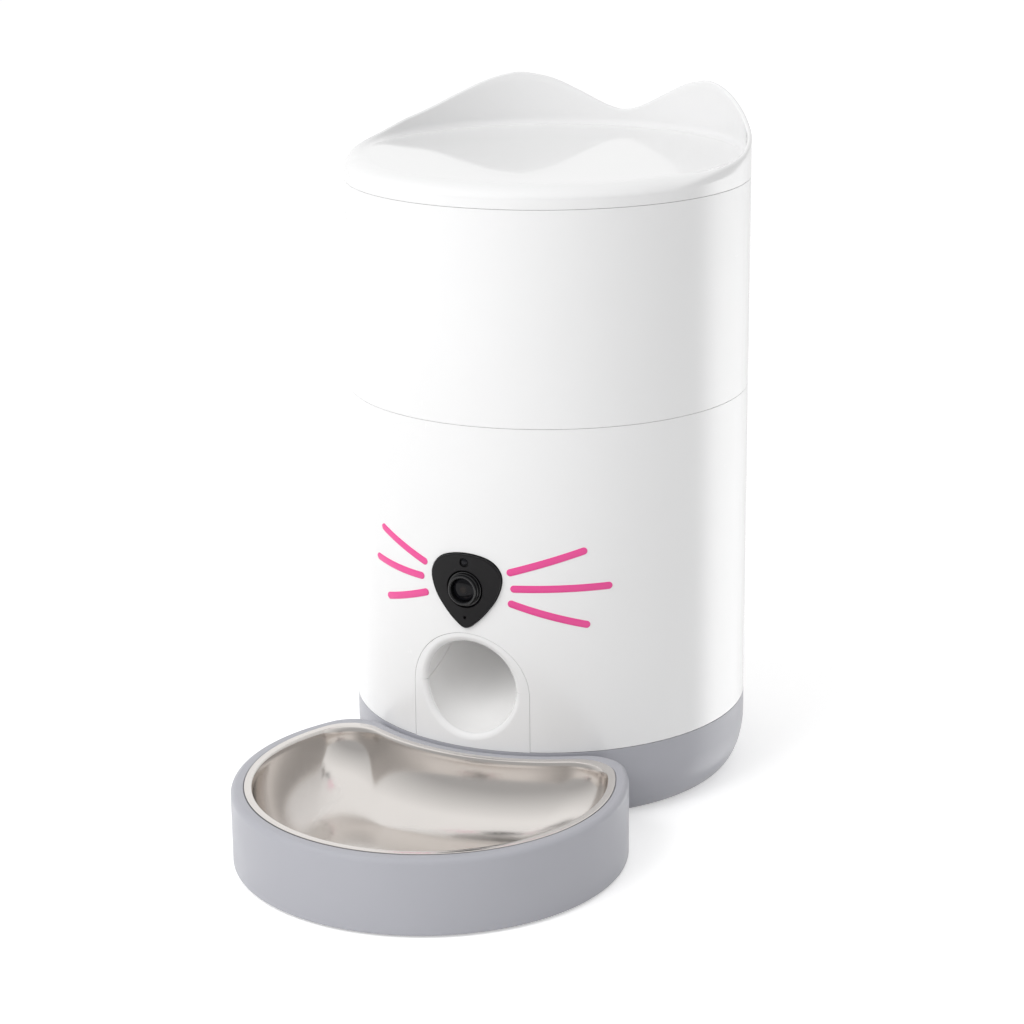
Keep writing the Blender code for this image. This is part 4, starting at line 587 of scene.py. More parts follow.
def outlet_pipe():
    """Curved pipe from the drop hole down and forward to the mouth."""
    top = Vector((-DROP_DISTANCE, WELL_UNDERSIDE + OVERRUN))
    end = Vector((-BODY_RADIUS - OVERRUN, MOUTH_Z - 0.0015))
    down = top - Vector((0, 0.515 * (top.y - end.y)))
    ahead = end + Vector((0.042, 0.006))

    def tube(name, extra, spare, sheet=None):
        """A tube along the bend, so much wider, with spare rings at its ends, or a level sheet."""
        rings = []
        for i in range(-spare, PIPE_RINGS + 1 + spare):
            t = i / PIPE_RINGS
            s = 1 - t
            spot = s ** 3 * top + 3 * s * s * t * down + 3 * s * t * t * ahead + t ** 3 * end
            along = s * s * (down - top) + 2 * s * t * (ahead - down) + t * t * (end - ahead)
            along.normalize()
            share = min(max(t / 0.92, 0), 1)
            radius = DROP_RADIUS + (MOUTH_RADIUS - DROP_RADIUS) * share + extra
            turns = [2 * math.pi * k / PIPE_STEPS for k in range(PIPE_STEPS)]
            flat = [(radius * math.cos(a), radius * math.sin(a)) for a in turns]
            if sheet:
                flat = [(radius, sheet), (-radius, sheet), (-radius, -sheet), (radius, -sheet)]
            rings.append([(x, AXIS_Y + spot.x - along.y * up, spot.y + along.x * up) for x, up in flat])
        return lofted(name, rings)

    pipe = tube("outlet_pipe", 0.0022, 0)
    boolean(pipe, tube("bore", 0.0, 1))
    boolean(pipe, tube("parting", 0.0007, 1, 0.00017))
    room = disc("room", INNER_RADIUS - 0.0001, WELL_UNDERSIDE - FIT, BASE_TOP, 0.0, STEPS, placed())
    boolean(pipe, room, "INTERSECT")
    piece(smooth(pipe), "feeder_body", PALE, "white_gloss", "outlet_chute")


def hopper_wall():
    top, bottom, low = LID_SEAM - HAIR, MID_SEAM + HAIR, MID_SEAM - SPIGOT_HEIGHT
    spigot = INNER_RADIUS - FIT
    ledge = LID_SEAM - 0.008
    shell = turned("hopper_wall", rounded([
        (BODY_RADIUS, top, CRISP), (BODY_RADIUS, bottom, CRISP), (spigot, bottom, 0), (spigot, low, 0.0004),
        (spigot - 0.002, low, 0.0004), (spigot - 0.002, bottom + 0.002, 0), (INNER_RADIUS, bottom + 0.004, 0),
        (INNER_RADIUS, ledge - 0.0035, 0), (INNER_RADIUS - 0.0035, ledge, 0), (INNER_RADIUS, ledge, 0),
        (INNER_RADIUS, top, CRISP),
    ], steps=3), loop=True)
    piece(smooth(shell, wall=BODY_RADIUS), "hopper", WALL_WHITE, "white_gloss", "hopper_shell")


def tank_liner():
    radius, throat, wall = 0.091, 0.047, 0.002
    flange = LID_SEAM - 0.0077
    low, high = MID_SEAM + 0.004, MID_SEAM + 0.041
    slope = math.atan2(high - low, radius - throat)
    shift = wall * (1 - math.sin(slope)) / math.cos(slope)
    liner = turned("tank_liner", rounded([
        (INNER_RADIUS - SEAM, flange + 0.002, 0.0006), (INNER_RADIUS - SEAM, flange, 0.0003), (radius, flange, 0),
        (radius, high - wall, 0.0004), (radius - wall, high - wall, 0.0002), (radius - wall, flange + 0.002, 0.0008),
    ]), loop=True)
    piece(smooth(liner), "hopper", TANK, "tank_plastic", "food_tank")
    rim = radius - wall - FIT
    mouth = DECK_TOP + 0.0005
    funnel = turned("funnel_liner", rounded([
        (rim, high + shift - FIT * math.tan(slope), 0.0003), (rim, high - (wall + FIT) * math.tan(slope), 0.0003),
        (throat, low, 0.004), (throat, mouth, 0.0005), (throat - wall, mouth, 0.0005),
        (throat - wall, low + shift, 0.004),
    ]), loop=True)
    piece(smooth(funnel), "hopper", TANK, "tank_plastic", "tank_funnel")


base_ring()
lower_wall()
outlet_cover()
outlet_pipe()
hopper_wall()
tank_liner()


# Nose with the camera, and the whisker strokes


def nose_and_camera():
    inner_front = 0.0828
    panel = turned("nose_face", [
        (NOSE_FACE, NOSE_Z + 0.045), (NOSE_FACE, NOSE_Z - 0.008), (INNER_RADIUS, NOSE_Z - 0.008),
        (INNER_RADIUS, NOSE_Z + 0.045),
    ], loop=True)
    boolean(panel, wall_prism("nose", nose_outline, edge(0.0006, 0.009, 0.0, -1), NOSE_FACE, NOSE_Z), "INTERSECT")
    for side in (-1, 1):
        spot = placed(side * 0.0105, AXIS_Y, LENS_Z, "front")
        boolean(panel, disc("post", 0.0018, 0.0953, inner_front, steps=SMALLER_STEPS, matrix=spot), "UNION")
    for radius, soft, height in ((0.0090, 0.0004, LENS_Z), (0.0022, 0.0003, SENSOR_Z),
                                 (0.0007, 0.0003, PINHOLE_Z)):
        boolean(panel, wall_prism("hole", circle_at(radius), edge(soft, 0.009), NOSE_FACE, height))
    piece(smooth(panel, wall=NOSE_FACE), "feeder_body", BLACK, "black_matte", "nose_panel")

    front = NOSE_FACE + 0.0028
    back = 0.0878 + FIT
    lens_back = front - 0.006
    barrel = turned("lens_barrel", rounded([
        (0.0084, back, 0), (0.0084, front - 0.0031, 0.0002), (0.0080, front - 0.0031, 0),
        (0.0080, front - 0.0035, 0), (0.0078, front - 0.0035, 0), (0.0077, front - 0.0018, 0.0003),
        (0.0074, front - 0.0016, 0.0002), (0.0072, front, 0.0005), (0.0064, front, 0.0002),
        (0.0063, front - 0.0004, 0), (0.0061, front - 0.0004, 0.0001), (0.0059, front - 0.0013, 0.0002),
        (0.0059, lens_back - FIT, 0), (0.004, lens_back - FIT, 0), (0.004, back, 0),
    ], steps=4), 96, loop=True, matrix=placed(z=LENS_Z, facing="front"))
    piece(smooth(barrel), "feeder_body", GLOSS_BLACK, "black_gloss", "camera_barrel")
    rim = front - 0.003
    dome = arc((0, rim), 0.0057, math.pi / 2, 0, 16, 0.0014)
    lens = turned("lens_front", [*dome, (0.0057, lens_back), (0, lens_back)], 96,
                  matrix=placed(z=LENS_Z, facing="front"))
    piece(smooth(lens), "feeder_body", LENS_GLASS, "lens_glass", "camera_lens")
    eye = NOSE_FACE - 0.0002
    window = turned("sensor_window", [*arc((0, eye - 0.0006), 0.0017, math.pi / 2, 0, 8, 0.0006),
                                      (0.0019, eye - 0.0006), (0.0019, INNER_RADIUS), (0, INNER_RADIUS)], 48,
                    matrix=placed(z=SENSOR_Z, facing="front"))
    piece(smooth(window), "feeder_body", LENS_GLASS, "lens_glass", "light_sensor")


def whisker(name, start, end, bow):
    """A printed stroke with round ends and a low crown, laid on the front wall."""
    unit = Vector((NOSE_WIDTH / 2, NOSE_HEIGHT))
    a, b = Vector(start) * unit, Vector(end) * unit
    along = b - a
    middle = (a + b) / 2 + Vector((-along.y, along.x)) * bow
    half = 0.0035 / 2

    def at(t):
        return a * (1 - t) * (1 - 2 * t) + middle * 4 * t * (1 - t) + b * t * (2 * t - 1)

    stations = [(0, -half * math.cos(k * math.pi / 16), half * math.sin(k * math.pi / 16)) for k in range(1, 8)]
    stations += [(k / 24, 0, half) for k in range(25)]
    stations += [(1, half * math.cos(k * math.pi / 16), half * math.sin(k * math.pi / 16)) for k in range(7, 0, -1)]
    rings = []
    for t, beyond, width in stations:
        heading = (at(t + 0.01) - at(t - 0.01)).normalized()
        spot = at(t) + heading * beyond
        across = Vector((-heading.y, heading.x))
        ring = []
        for share, out in ((-1, -0.0003), (-1, 0.0001), (-0.8, 0.00022), (-0.35, 0.0003), (0.35, 0.0003),
                           (0.8, 0.00022), (1, 0.0001), (1, -0.0003)):
            s, z = spot + across * (width * share)
            radius, turn = BODY_RADIUS + out, s / BODY_RADIUS
            ring.append((radius * math.sin(turn), AXIS_Y - radius * math.cos(turn), NOSE_Z + z))
        rings.append(ring)
    return smooth(lofted(name, rings), math.radians(60))


def whiskers():
    left = (((1.279, 0.801), (2.890, 1.097), 0.0), ((1.397, 0.594), (3.172, 0.660), -0.013),
            ((1.256, 0.381), (2.687, 0.174), -0.012))
    right = (((1.239, 0.796), (3.172, 1.086), 0.0), ((1.335, 0.577), (3.848, 0.599), 0.0),
             ((1.262, 0.373), (3.245, 0.094), -0.010))
    for side, word, strokes in ((-1, "left", left), (1, "right", right)):
        for row, (start, end, bow) in enumerate(strokes):
            stroke = whisker(f"stroke_{word}_{row + 1}", (side * start[0], start[1]), (side * end[0], end[1]),
                             side * bow)
            piece(stroke, "feeder_body", PINK, "pink_print", f"whisker_{word}_{row + 1}")


nose_and_camera()
whiskers()


# Lid with its ears, seal and desiccant box


def ear_height(degrees):
    """Height of the ears above the lid at so many degrees from the rear."""
    line = [(-5.5, 0.39), *EAR_SHARES, (135, 0.0)]
    if degrees >= EAR_SHARES[-1][0]:
        return 0.0
    for i in range(1, len(line) - 2):
        (x0, y0), (x1, y1), (x2, y2), (x3, y3) = line[i - 1:i + 3]
        if x1 <= degrees <= x2:
            t = (degrees - x1) / (x2 - x1)
            m1 = (y2 - y0) / (x2 - x0) * (x2 - x1)
            m2 = (y3 - y1) / (x3 - x1) * (x2 - x1)
            share = ((2 * t ** 3 - 3 * t * t + 1) * y1 + (t ** 3 - 2 * t * t + t) * m1
                     + (3 * t * t - 2 * t ** 3) * y2 + (t ** 3 - t * t) * m2)
            return max(0.0, EAR_HEIGHT * share)
    return 0.0


def lid_crest(height):
    """The lid's outer line at one bearing, from its flat top over rim or ear and down to the side."""
    low = LID_TOP - LID_ROUND_HEIGHT
    flat = BODY_RADIUS - LID_ROUND_WIDTH
    share = min(1.0, height / EAR_BLEND_HEIGHT)
    mix = share * share * (3 - 2 * share)
    foot = min(0.004, height / 2)
    inside = BODY_RADIUS - 0.0022
    tip = min(0.0011, height / 4)
    crest = []
    for k in range(41):
        u = 6 * k / 40
        turn = math.pi / 2 * (1 - u / 6)
        rim = (flat + LID_ROUND_WIDTH * math.cos(turn), low + LID_ROUND_HEIGHT * math.sin(turn))
        if u <= 2:
            a = u / 2 * math.pi / 2
            wall = (inside - foot * (1 - math.sin(a)), LID_TOP + foot * (1 - math.cos(a)))
        elif u <= 3:
            wall = (inside, LID_TOP + foot + (height - tip - foot) * (u - 2))
        elif u <= 5:
            a = (u - 3) / 2 * math.pi
            wall = (BODY_RADIUS - 0.0011 - 0.0011 * math.cos(a), LID_TOP + height - tip + tip * math.sin(a))
        else:
            wall = (BODY_RADIUS, LID_TOP + height - tip + (low - LID_TOP - height + tip) * (u - 5))
        crest.append((rim[0] + (wall[0] - rim[0]) * mix, rim[1] + (wall[1] - rim[1]) * mix))
    return crest


def lid_cover():
    seam = LID_SEAM + HAIR
    low = LID_TOP - LID_ROUND_HEIGHT
    bottom = LID_SEAM - 0.0105
    skirt = 0.0875
    under = rounded([
        (BODY_RADIUS, low, 0), (BODY_RADIUS, seam, CRISP), (INNER_RADIUS, seam, CRISP), (INNER_RADIUS, low, 0),
        (skirt, low, 0), (skirt, bottom + 0.0063, 0), (skirt - 0.0015, bottom + 0.0063, 0),
        (skirt - 0.0015, bottom + 0.0027, 0), (skirt, bottom + 0.0027, 0), (skirt, bottom, 0.0006),
        (skirt - 0.004, bottom, 0.0006), (skirt - 0.004, LID_TOP - WALL, 0),
    ], closed=False, steps=4)[1:]
    count = 288
    sections = []
    for i in range(count):
        bearing = 2 * math.pi * i / count
        from_rear = abs(math.degrees(math.remainder(bearing - math.pi / 2, 2 * math.pi)))
        line = lid_crest(ear_height(from_rear)) + under
        sections.append([(r * math.cos(bearing), AXIS_Y + r * math.sin(bearing), z) for r, z in line])
    cover = lofted("lid_cover", [list(ring) for ring in zip(*sections)])
    piece(smooth(cover, wall=BODY_RADIUS), "lid", WHITE, "white_gloss", "lid")


def lid_fittings():
    bottom = LID_SEAM - 0.0075
    seal = turned("seal_ring", rounded([
        (0.0863, bottom + 0.003, 0.0004), (0.0871, bottom + 0.003, 0), (0.0887, bottom + 0.0022, 0.0005),
        (0.0887, bottom + 0.0008, 0.0005), (0.0871, bottom, 0), (0.0863, bottom, 0.0004),
    ]), loop=True)
    piece(smooth(seal), "lid", SILICONE, "silicone", "lid_seal")
    top = LID_TOP - WALL - FIT
    low = top - 0.017
    box = turned("dry_box", rounded([
        (0, top, 0), (0.028, top, 0.0006), (0.028, low, 0.0008), (0.026, low, 0.0006), (0.026, top - 0.002, 0.001),
        (0, top - 0.002, 0),
    ], closed=False), 96)
    piece(smooth(box), "lid", LIGHT_GREY, "light_grey_plastic", "desiccant_box")
    pack_low = low + 0.002 + 2 * FIT
    pack = disc("dry_pack", 0.0255, top - 0.0023, pack_low, 0.002, 96, placed())
    piece(smooth(pack), "lid", FLEECE, "desiccant_fleece", "desiccant_pack")
    cap = disc("dry_cap", 0.0257, low + 0.0023, low + FIT, 0.0004, 96, placed())
    grip = cuboid("grip", (0.016, 0.002, 0.0038), (0, AXIS_Y, low - 0.0006), 0.0005)
    boolean(cap, grip, "UNION")
    for i in range(8):
        a = math.pi / 8 + i * math.pi / 4
        turn = Matrix.Translation((0, AXIS_Y, low)) @ Matrix.Rotation(a, 4, "Z")
        boolean(cap, cuboid("vent", (0.012, 0.002, 0.012), (0.014, 0, 0), 0.0009, turn))
    piece(smooth(cap), "desiccant_cap", LIGHT_GREY, "light_grey_plastic", "desiccant_cap")


lid_cover()
lid_fittings()


# Bowl stand and steel dish


def crescent(inset, height):
    """The bowl's outline, drawn in by inset: a round front and a hollow rear that fits the body."""
    front, rear = HOLDER_RADIUS - inset, NEST_RADIUS + inset
    to_front, to_rear = front - HOLDER_CORNER, rear + HOLDER_CORNER
    along = (DOCK_DISTANCE ** 2 + to_rear ** 2 - to_front ** 2) / (2 * DOCK_DISTANCE)
    across = math.sqrt(to_rear ** 2 - along ** 2)
    outer_turn = math.atan2(DOCK_DISTANCE - along, across)
    rear_turn = math.atan2(-along, across)
    outline = [
        *arc((0, -DOCK_DISTANCE), front, outer_turn, -math.pi - outer_turn, 96)[:-1],
        *arc((-across, -along), HOLDER_CORNER, math.pi - outer_turn, -rear_turn, 16)[:-1],
        *arc((0, 0), rear, math.pi - rear_turn, 2 * math.pi + rear_turn, 48)[:-1],
        *arc((across, -along), HOLDER_CORNER, rear_turn + math.pi, outer_turn, 16)[:-1],
    ]
    return [(x, AXIS_Y + y, height) for x, y in outline]


def bowl_stand():
    seat_z = HOLDER_TOP - GAUGE
    cavity = RIM_INSET + 0.003
    section = rounded([
        (cavity - WALL, FOOT_PROUD, 0.0004), (cavity - WALL, seat_z - WALL, 0.001), (WALL, seat_z - WALL, 0.001),
        (WALL, FOOT_PROUD, 0.0004), (0, FOOT_PROUD, 0.0015), (0, HOLDER_TOP, 0.005),
        (RIM_INSET - FIT, HOLDER_TOP, 0.0004), (RIM_INSET - FIT, seat_z, 0), (cavity, seat_z, 0),
        (cavity, FOOT_PROUD + WALL, 0),
    ], closed=False, steps=10)
    stand = lofted("bowl_stand", [crescent(inset, z) for inset, z in section])
    tongue = cuboid("tongue", (0.030, 0.022, 0.005), (0, AXIS_Y - NEST_RADIUS, TONGUE_Z), 0.0008)
    boolean(stand, tongue, "UNION")
    for i, degrees in enumerate((20, 160, 270)):
        a = math.radians(degrees)
        spot = placed(STAND_FOOT_CIRCLE * math.cos(a), AXIS_Y - DOCK_DISTANCE + STAND_FOOT_CIRCLE * math.sin(a))
        boolean(stand, disc("seat", 0.0063, FOOT_PROUD + 0.0008, 0, steps=32, matrix=spot))
        foot = disc(f"stand_foot_{i + 1}", 0.006, FOOT_PROUD + 0.0005, 0, 0.0005, 32, spot)
        piece(smooth(foot), "bowl", RUBBER, "rubber", f"holder_foot_{i + 1}")
    piece(smooth(stand), "bowl", GREY, "grey_satin", "bowl_holder")


def dish_steel():
    """The dish's section is a rim, a bend and a round wall that sweeps into the floor."""
    inside = RIM_INSET + 0.003
    floor_z = FOOT_PROUD + WALL + 2 * GAUGE
    middle = (inside + FIT + GAUGE + DISH_SWEEP, floor_z + DISH_SWEEP)
    inner = arc(middle, DISH_SWEEP, math.pi, 1.5 * math.pi, 40)
    outer = arc(middle, DISH_SWEEP + GAUGE, 1.5 * math.pi, math.pi, 40)
    bent = rounded([(RIM_INSET, DISH_TOP, 0), (inside + 0.0004, DISH_TOP, 0.0010), (*inner[0], 0)],
                   closed=False, steps=6)[1:-1]
    lip = rounded([(inside + 0.0001, DISH_TOP - GAUGE, 0), (RIM_INSET, DISH_TOP - GAUGE, 0.0002),
                   (RIM_INSET, DISH_TOP, 0.0003), (inside, DISH_TOP, 0)], closed=False, steps=4)[:-1]
    section = [*outer, *lip, *bent, *inner]
    dish = lofted("dish_steel", [crescent(inset, z) for inset, z in section])
    piece(smooth(dish), "dish", STEEL, "satin_steel", "steel_dish")


bowl_stand()
dish_steel()


# Inside: deck, rotor, rear fittings, feet and screws


def deck_plate():
    well, hole, step = 0.050, 0.0058, 0.0512
    deck = turned("deck_plate", rounded([
        (INNER_RADIUS - FIT, DECK_TOP, 0.0004), (INNER_RADIUS - FIT, DECK_TOP - 0.0025, 0.0003),
        (well + 0.003, DECK_TOP - 0.0025, 0), (well + 0.003, WELL_UNDERSIDE, 0.001), (hole, WELL_UNDERSIDE, 0),
        (hole, WELL_FLOOR, 0), (well, WELL_FLOOR, 0.0015), (well, DECK_TOP - 0.002, 0.0002),
        (step, DECK_TOP - 0.002, 0), (step, DECK_TOP, 0.0003),
    ]), loop=True)
    spot = placed(0, AXIS_Y - DROP_DISTANCE)
    boolean(deck, disc("drop", 0.014, WELL_FLOOR + OVERRUN, WELL_UNDERSIDE - OVERRUN, steps=72, matrix=spot))
    piece(smooth(deck), "feeder_body", LIGHT_GREY, "light_grey_plastic", "dispenser_deck")


def portion_wheel():
    low, high = WELL_FLOOR + 0.0008, DECK_TOP - 0.0028
    reach, hub, root = 0.0492, 0.009, 0.007
    wheel = turned("portion_wheel", rounded([
        (hub, high, 0.0008), (hub, low, 0.0005), (0.0033, low, 0.0003), (0.0033, high, 0.0003),
    ]), SMALL_STEPS, loop=True)
    length = reach - root
    for i in range(6):
        turn = Matrix.Translation((0, AXIS_Y, (low + high) / 2)) @ Matrix.Rotation(i * math.pi / 3, 4, "Z")
        vane = cuboid("vane", (length, 0.002, high - low), (reach - length / 2, 0, 0), 0.0007, turn)
        boolean(wheel, vane, "UNION")
    piece(smooth(wheel), "rotor", ROTOR, "rotor_plastic", "rotor")


def rear_fittings():
    face = math.sqrt(BODY_RADIUS ** 2 - 0.006 ** 2) - 0.0002
    flange = 0.0943 - 0.0003
    back = 0.0835 + FIT
    floor = face - 0.009
    inlet = turned("inlet_socket", rounded([
        (0, floor + 0.004, 0), (0.0009, floor + 0.004, 0.0003), (0.0009, floor, 0), (0.0033, floor, 0),
        (0.0033, face, 0.0005), (0.006, face, 0.0006), (0.006, flange, 0), (0.0075, flange, 0),
        (0.0075, flange - 0.0015, 0), (0.006, flange - 0.0015, 0), (0.006, back, 0), (0, back, 0),
    ], closed=False), 64, matrix=placed(z=INLET_Z, facing="rear"))
    piece(smooth(inlet), "feeder_body", BLACK, "black_matte", "power_inlet")
    face = math.sqrt(BODY_RADIUS ** 2 - 0.0045 ** 2) - 0.0002
    button = turned("reset_cap", [
        (0, face - 0.0006), *arc((0, face + 0.012 - 0.0006), 0.012, -math.pi / 2, -math.pi / 2 + 0.3, 6)[1:],
        *rounded([(0.0037, face - 0.0001, 0), (0.0045, face, 0.0004), (0.0045, flange, 0), (0.006, flange, 0),
                  (0.006, flange - 0.0015, 0), (0.002, flange - 0.0015, 0), (0.002, flange - 0.0052, 0),
                  (0, flange - 0.0052, 0)], closed=False),
    ], 64, matrix=placed(z=BUTTON_Z, facing="rear"))
    piece(smooth(button), "button", LIGHT_GREY, "light_grey_plastic", "reset_button")


def feet_and_screws():
    for i in range(4):
        a = math.pi / 4 + i * math.pi / 2
        spot = placed(BASE_FOOT_CIRCLE * math.cos(a), AXIS_Y + BASE_FOOT_CIRCLE * math.sin(a))
        foot = disc(f"rubber_foot_{i + 1}", 0.008, FOOT_PROUD + 0.0005, 0, 0.0005, 40, spot)
        piece(smooth(foot), "feeder_body", RUBBER, "rubber", f"base_foot_{i + 1}")
        spot = placed(SCREW_CIRCLE * math.cos(a), AXIS_Y + SCREW_CIRCLE * math.sin(a))
        head = FOOT_PROUD + FIT
        screw = turned(f"plate_screw_{i + 1}", rounded([
            (0, PLATE_TOP + 0.0107, 0), (0.0013, PLATE_TOP + 0.0107, 0.0004), (0.0013, head + 0.0014, 0),
            (0.0028, head + 0.0014, 0.0002), (0.0028, head, 0.0008), (0, head, 0),
        ], closed=False), 32, matrix=spot)
        for turn in (0, math.pi / 2):
            cross = Matrix.Translation(spot.translation) @ Matrix.Rotation(a + turn, 4, "Z")
            boolean(screw, cuboid("cross", (0.003, 0.0006, 0.0016), (0, 0, head), 0.0002, cross))
        piece(smooth(screw), "feeder_body", METAL, "zinc_metal", f"base_screw_{i + 1}")


deck_plate()
portion_wheel()
rear_fittings()
feet_and_screws()


# CAD nodes that keep their own shape


def kept_node(name, material):
    """A CAD node with rounded edges, smooth shading and a finish of its own."""
    obj = frame["nodes"][name]
    obj.data.materials.clear()
    obj.data.materials.append(material)
    bevel = obj.modifiers.new("soft_edges", "BEVEL")
    bevel.width = 0.0002
    bevel.segments = 2
    bevel.limit_method = "ANGLE"
    bevel.angle_limit = math.radians(40)
    bevel.harden_normals = True
    obj.data.shade_smooth()
    obj.data.set_sharp_from_angle(angle=math.radians(30))


for kept, finish, finish_slot in (
    ("base_plate", GREY, "grey_satin"), ("camera_module", BOARD, "circuit_board"),
    ("microphone", METAL, "zinc_metal"), ("metering_guard", LIGHT_GREY, "light_grey_plastic"),
    ("shaft_bush", BRASS, "brass"), ("gear_motor", METAL, "zinc_metal"), ("motor_bracket", METAL, "zinc_metal"),
    ("motor_screw_1", METAL, "zinc_metal"), ("motor_screw_2", METAL, "zinc_metal"),
    ("main_board", BOARD, "circuit_board"), ("speaker", RUBBER, "rubber"), ("rear_board", BOARD, "circuit_board"),
    ("rotor_shaft", METAL, "zinc_metal"), ("drive_gear", NYLON, "nylon"), ("motor_pinion", NYLON, "nylon"),
):
    kept_node(kept, finish)


# Floor, lights and camera


def floor():
    """A white floor that keeps the object's shadow and shows white to the camera and in reflections."""
    mesh = bpy.data.meshes.new("floor")
    far = 20
    mesh.from_pydata([(-far, -far, 0), (far, -far, 0), (far, far, 0), (-far, far, 0)], [], [(0, 1, 2, 3)])
    obj = bpy.data.objects.new("floor", mesh)
    bpy.context.scene.collection.objects.link(obj)
    n = Nodes("floor")
    n.set(Base_Color=(0.90, 0.90, 0.90, 1), Roughness=0.9, Specular_IOR_Level=0.0, Emission_Color=(1, 1, 1, 1))
    path = n.tree.nodes.new("ShaderNodeLightPath").outputs
    seen = n.math("ADD", path["Is Camera Ray"], path["Is Glossy Ray"])
    seen = n.math("ADD", seen, path["Is Transmission Ray"])
    n.link(n.math("MULTIPLY", seen, FLOOR_LIFT), "Emission Strength")
    mesh.materials.append(n.material)


def world():
    """An even white studio. Reflections see a room that darkens towards the front."""
    space = bpy.data.worlds.new("studio")
    bpy.context.scene.world = space
    space.use_nodes = True
    tree = space.node_tree
    back = tree.nodes["Background"]
    path = tree.nodes.new("ShaderNodeLightPath").outputs

    def link(kind, *values, how=None):
        node = tree.nodes.new(kind)
        if how:
            node.operation = how
        for i, value in enumerate(values):
            if isinstance(value, bpy.types.NodeSocket):
                tree.links.new(value, node.inputs[i])
            else:
                node.inputs[i].default_value = value
        return node.outputs

    seen = link("ShaderNodeMath", path["Is Camera Ray"], path["Is Transmission Ray"], how="ADD")[0]
    spot = link("ShaderNodeSeparateXYZ", tree.nodes.new("ShaderNodeTexCoord").outputs["Generated"])
    across = link("ShaderNodeMath", spot[2], 0.75, spot[1], how="MULTIPLY_ADD")[0]
    room = link("ShaderNodeMapRange", across, -0.6, 0.5, FRONT_LEVEL, 1.0)[0]
    lift = link("ShaderNodeMath", room, WORLD_LEVEL, how="SUBTRACT")[0]
    level = link("ShaderNodeMath", path["Is Glossy Ray"], lift, WORLD_LEVEL, how="MULTIPLY_ADD")[0]
    level = link("ShaderNodeMath", level, seen, how="MAXIMUM")[0]
    tree.links.new(level, back.inputs["Strength"])
    back.inputs["Color"].default_value = (1, 1, 1, 1)


def key_lamp(azimuth, elevation, distance, size, power):
    """The square key lamp, aimed at the body's middle. Azimuth 0 is in front and 90 on the +X side."""
    data = bpy.data.lights.new("key", "AREA")
    data.shape = "RECTANGLE"
    data.size = data.size_y = size
    data.energy = power
    obj = bpy.data.objects.new("key", data)
    bpy.context.scene.collection.objects.link(obj)
    a, e = math.radians(azimuth), math.radians(elevation)
    out = Vector((math.sin(a) * math.cos(e), -math.cos(a) * math.cos(e), math.sin(e)))
    obj.location = Vector((0, AXIS_Y, 0.17)) + out * distance
    obj.rotation_mode = "QUATERNION"
    obj.rotation_quaternion = out.to_track_quat("Z", "Y")
    obj.visible_camera = False
    obj.visible_glossy = False


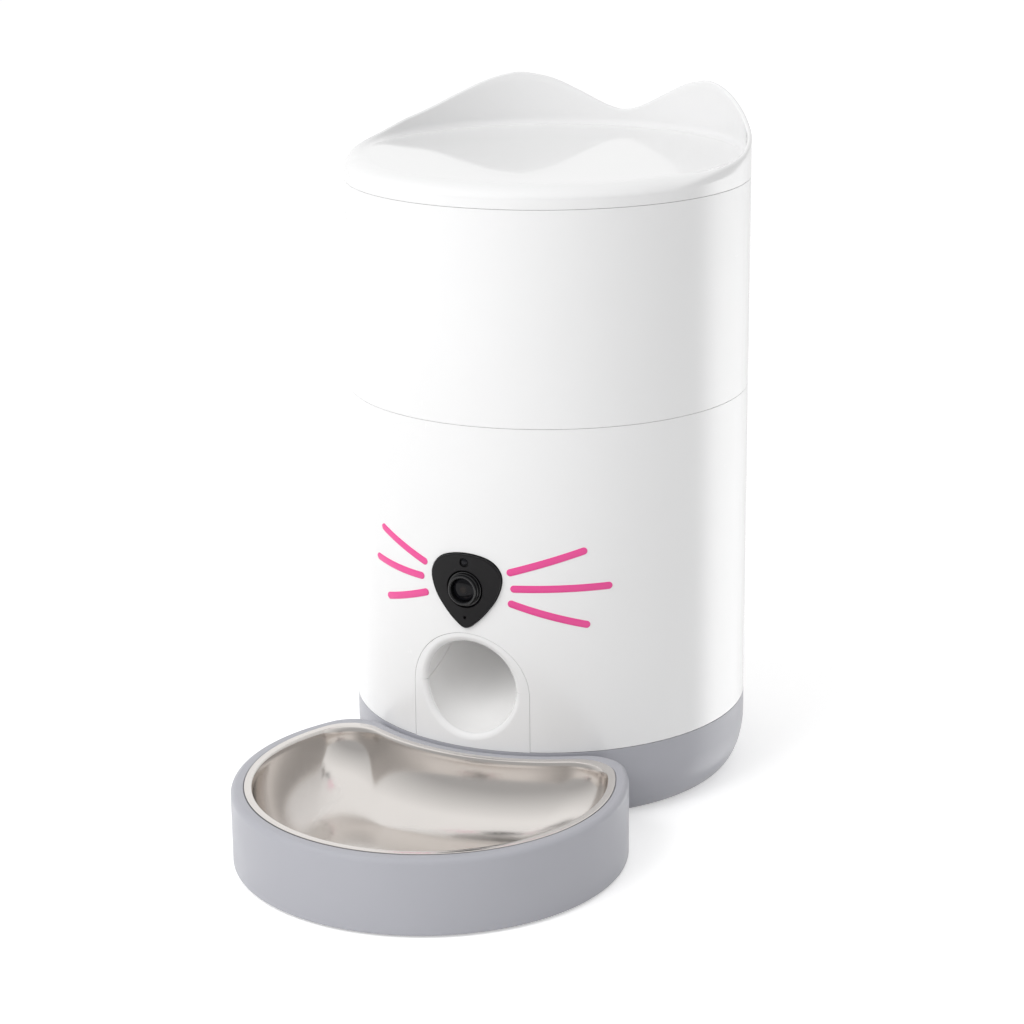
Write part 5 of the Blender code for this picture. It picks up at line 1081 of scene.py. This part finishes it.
def edge_card():
    """Bright sheet on the floor behind on the right, seen only in reflections, which lights the wall's edge."""
    eye = Vector(CAMERA_SPOT) - Vector((0, AXIS_Y, 0))
    verts, levels = [], []
    for degrees, level in CARD_LEVELS:
        a = math.radians(degrees)
        out = Vector((math.sin(a), -math.cos(a), 0))
        ray = out * BODY_RADIUS - Vector((eye.x, eye.y, 0))
        ray -= out * (2 * ray.dot(out))
        ray.normalize()
        for reach in (0.01, CARD_REACH):
            spot = out * BODY_RADIUS + ray * reach
            verts.append((spot.x, AXIS_Y + spot.y, 0.0006))
            levels.append(level)
    count = len(CARD_LEVELS)
    mesh = bpy.data.meshes.new("edge_card")
    mesh.from_pydata(verts, [], [(2 * i, 2 * i + 1, 2 * i + 3, 2 * i + 2) for i in range(count - 1)])
    for spot, level in zip(mesh.attributes.new("level", "FLOAT", "POINT").data, levels):
        spot.value = level
    obj = bpy.data.objects.new("edge_card", mesh)
    bpy.context.scene.collection.objects.link(obj)
    n = Nodes("edge_card")
    level = n.tree.nodes.new("ShaderNodeAttribute")
    level.attribute_name = "level"
    n.link(level.outputs["Fac"], "Emission Strength")
    n.set(Base_Color=(0, 0, 0, 1), Specular_IOR_Level=0.0, Emission_Color=(1, 1, 1, 1))
    mesh.materials.append(n.material)
    for ray in ("camera", "diffuse", "transmission", "shadow"):
        setattr(obj, f"visible_{ray}", False)


def camera():
    data = bpy.data.cameras.new("camera")
    data.lens = CAMERA_LENS
    data.sensor_width = 36.0
    obj = bpy.data.objects.new("camera", data)
    bpy.context.scene.collection.objects.link(obj)
    obj.location = CAMERA_SPOT
    turn = Matrix.Rotation(CAMERA_SIDE + CAMERA_PAN, 4, "Z") @ Matrix.Rotation(math.pi / 2 - CAMERA_DIP, 4, "X")
    obj.rotation_mode = "QUATERNION"
    obj.rotation_quaternion = (turn @ Matrix.Rotation(CAMERA_ROLL, 4, "Z")).to_quaternion()
    bpy.context.scene.camera = obj


# The photograph's view, with distances in body radii and turns in radians
CAMERA_LENS = 93.66
CAMERA_REACH = 13.043
CAMERA_RISE = 4.8338
CAMERA_SIDE = math.radians(23.9)
CAMERA_PAN = 0.0148
CAMERA_DIP = 0.29125
CAMERA_ROLL = -0.0108
CAMERA_SPOT = (CAMERA_REACH * BODY_RADIUS * math.sin(CAMERA_SIDE),
               AXIS_Y - CAMERA_REACH * BODY_RADIUS * math.cos(CAMERA_SIDE), CAMERA_RISE * BODY_RADIUS + BASE_TOP)

# Light. The card's levels are given by the bearing on the wall where they show.
CARD_REACH = 2.2
CARD_LEVELS = (
    (66.6, 1.05), (69.8, 1.6), (71.6, 2.05), (73.9, 2.7), (76.8, 2.95), (80.1, 2.75), (83.6, 2.4), (87.6, 2.0),
    (93.1, 1.5), (97.6, 1.15), (102.6, 0.95), (109, 0.9),
)
FLOOR_LIFT = 0.435
WORLD_LEVEL = 0.65
FRONT_LEVEL = 0.45

floor()
world()
key_lamp(azimuth=-26, elevation=39, distance=1.6, size=1.1, power=13.0)
edge_card()
camera()

bpy.context.scene.view_settings.view_transform = "Standard"
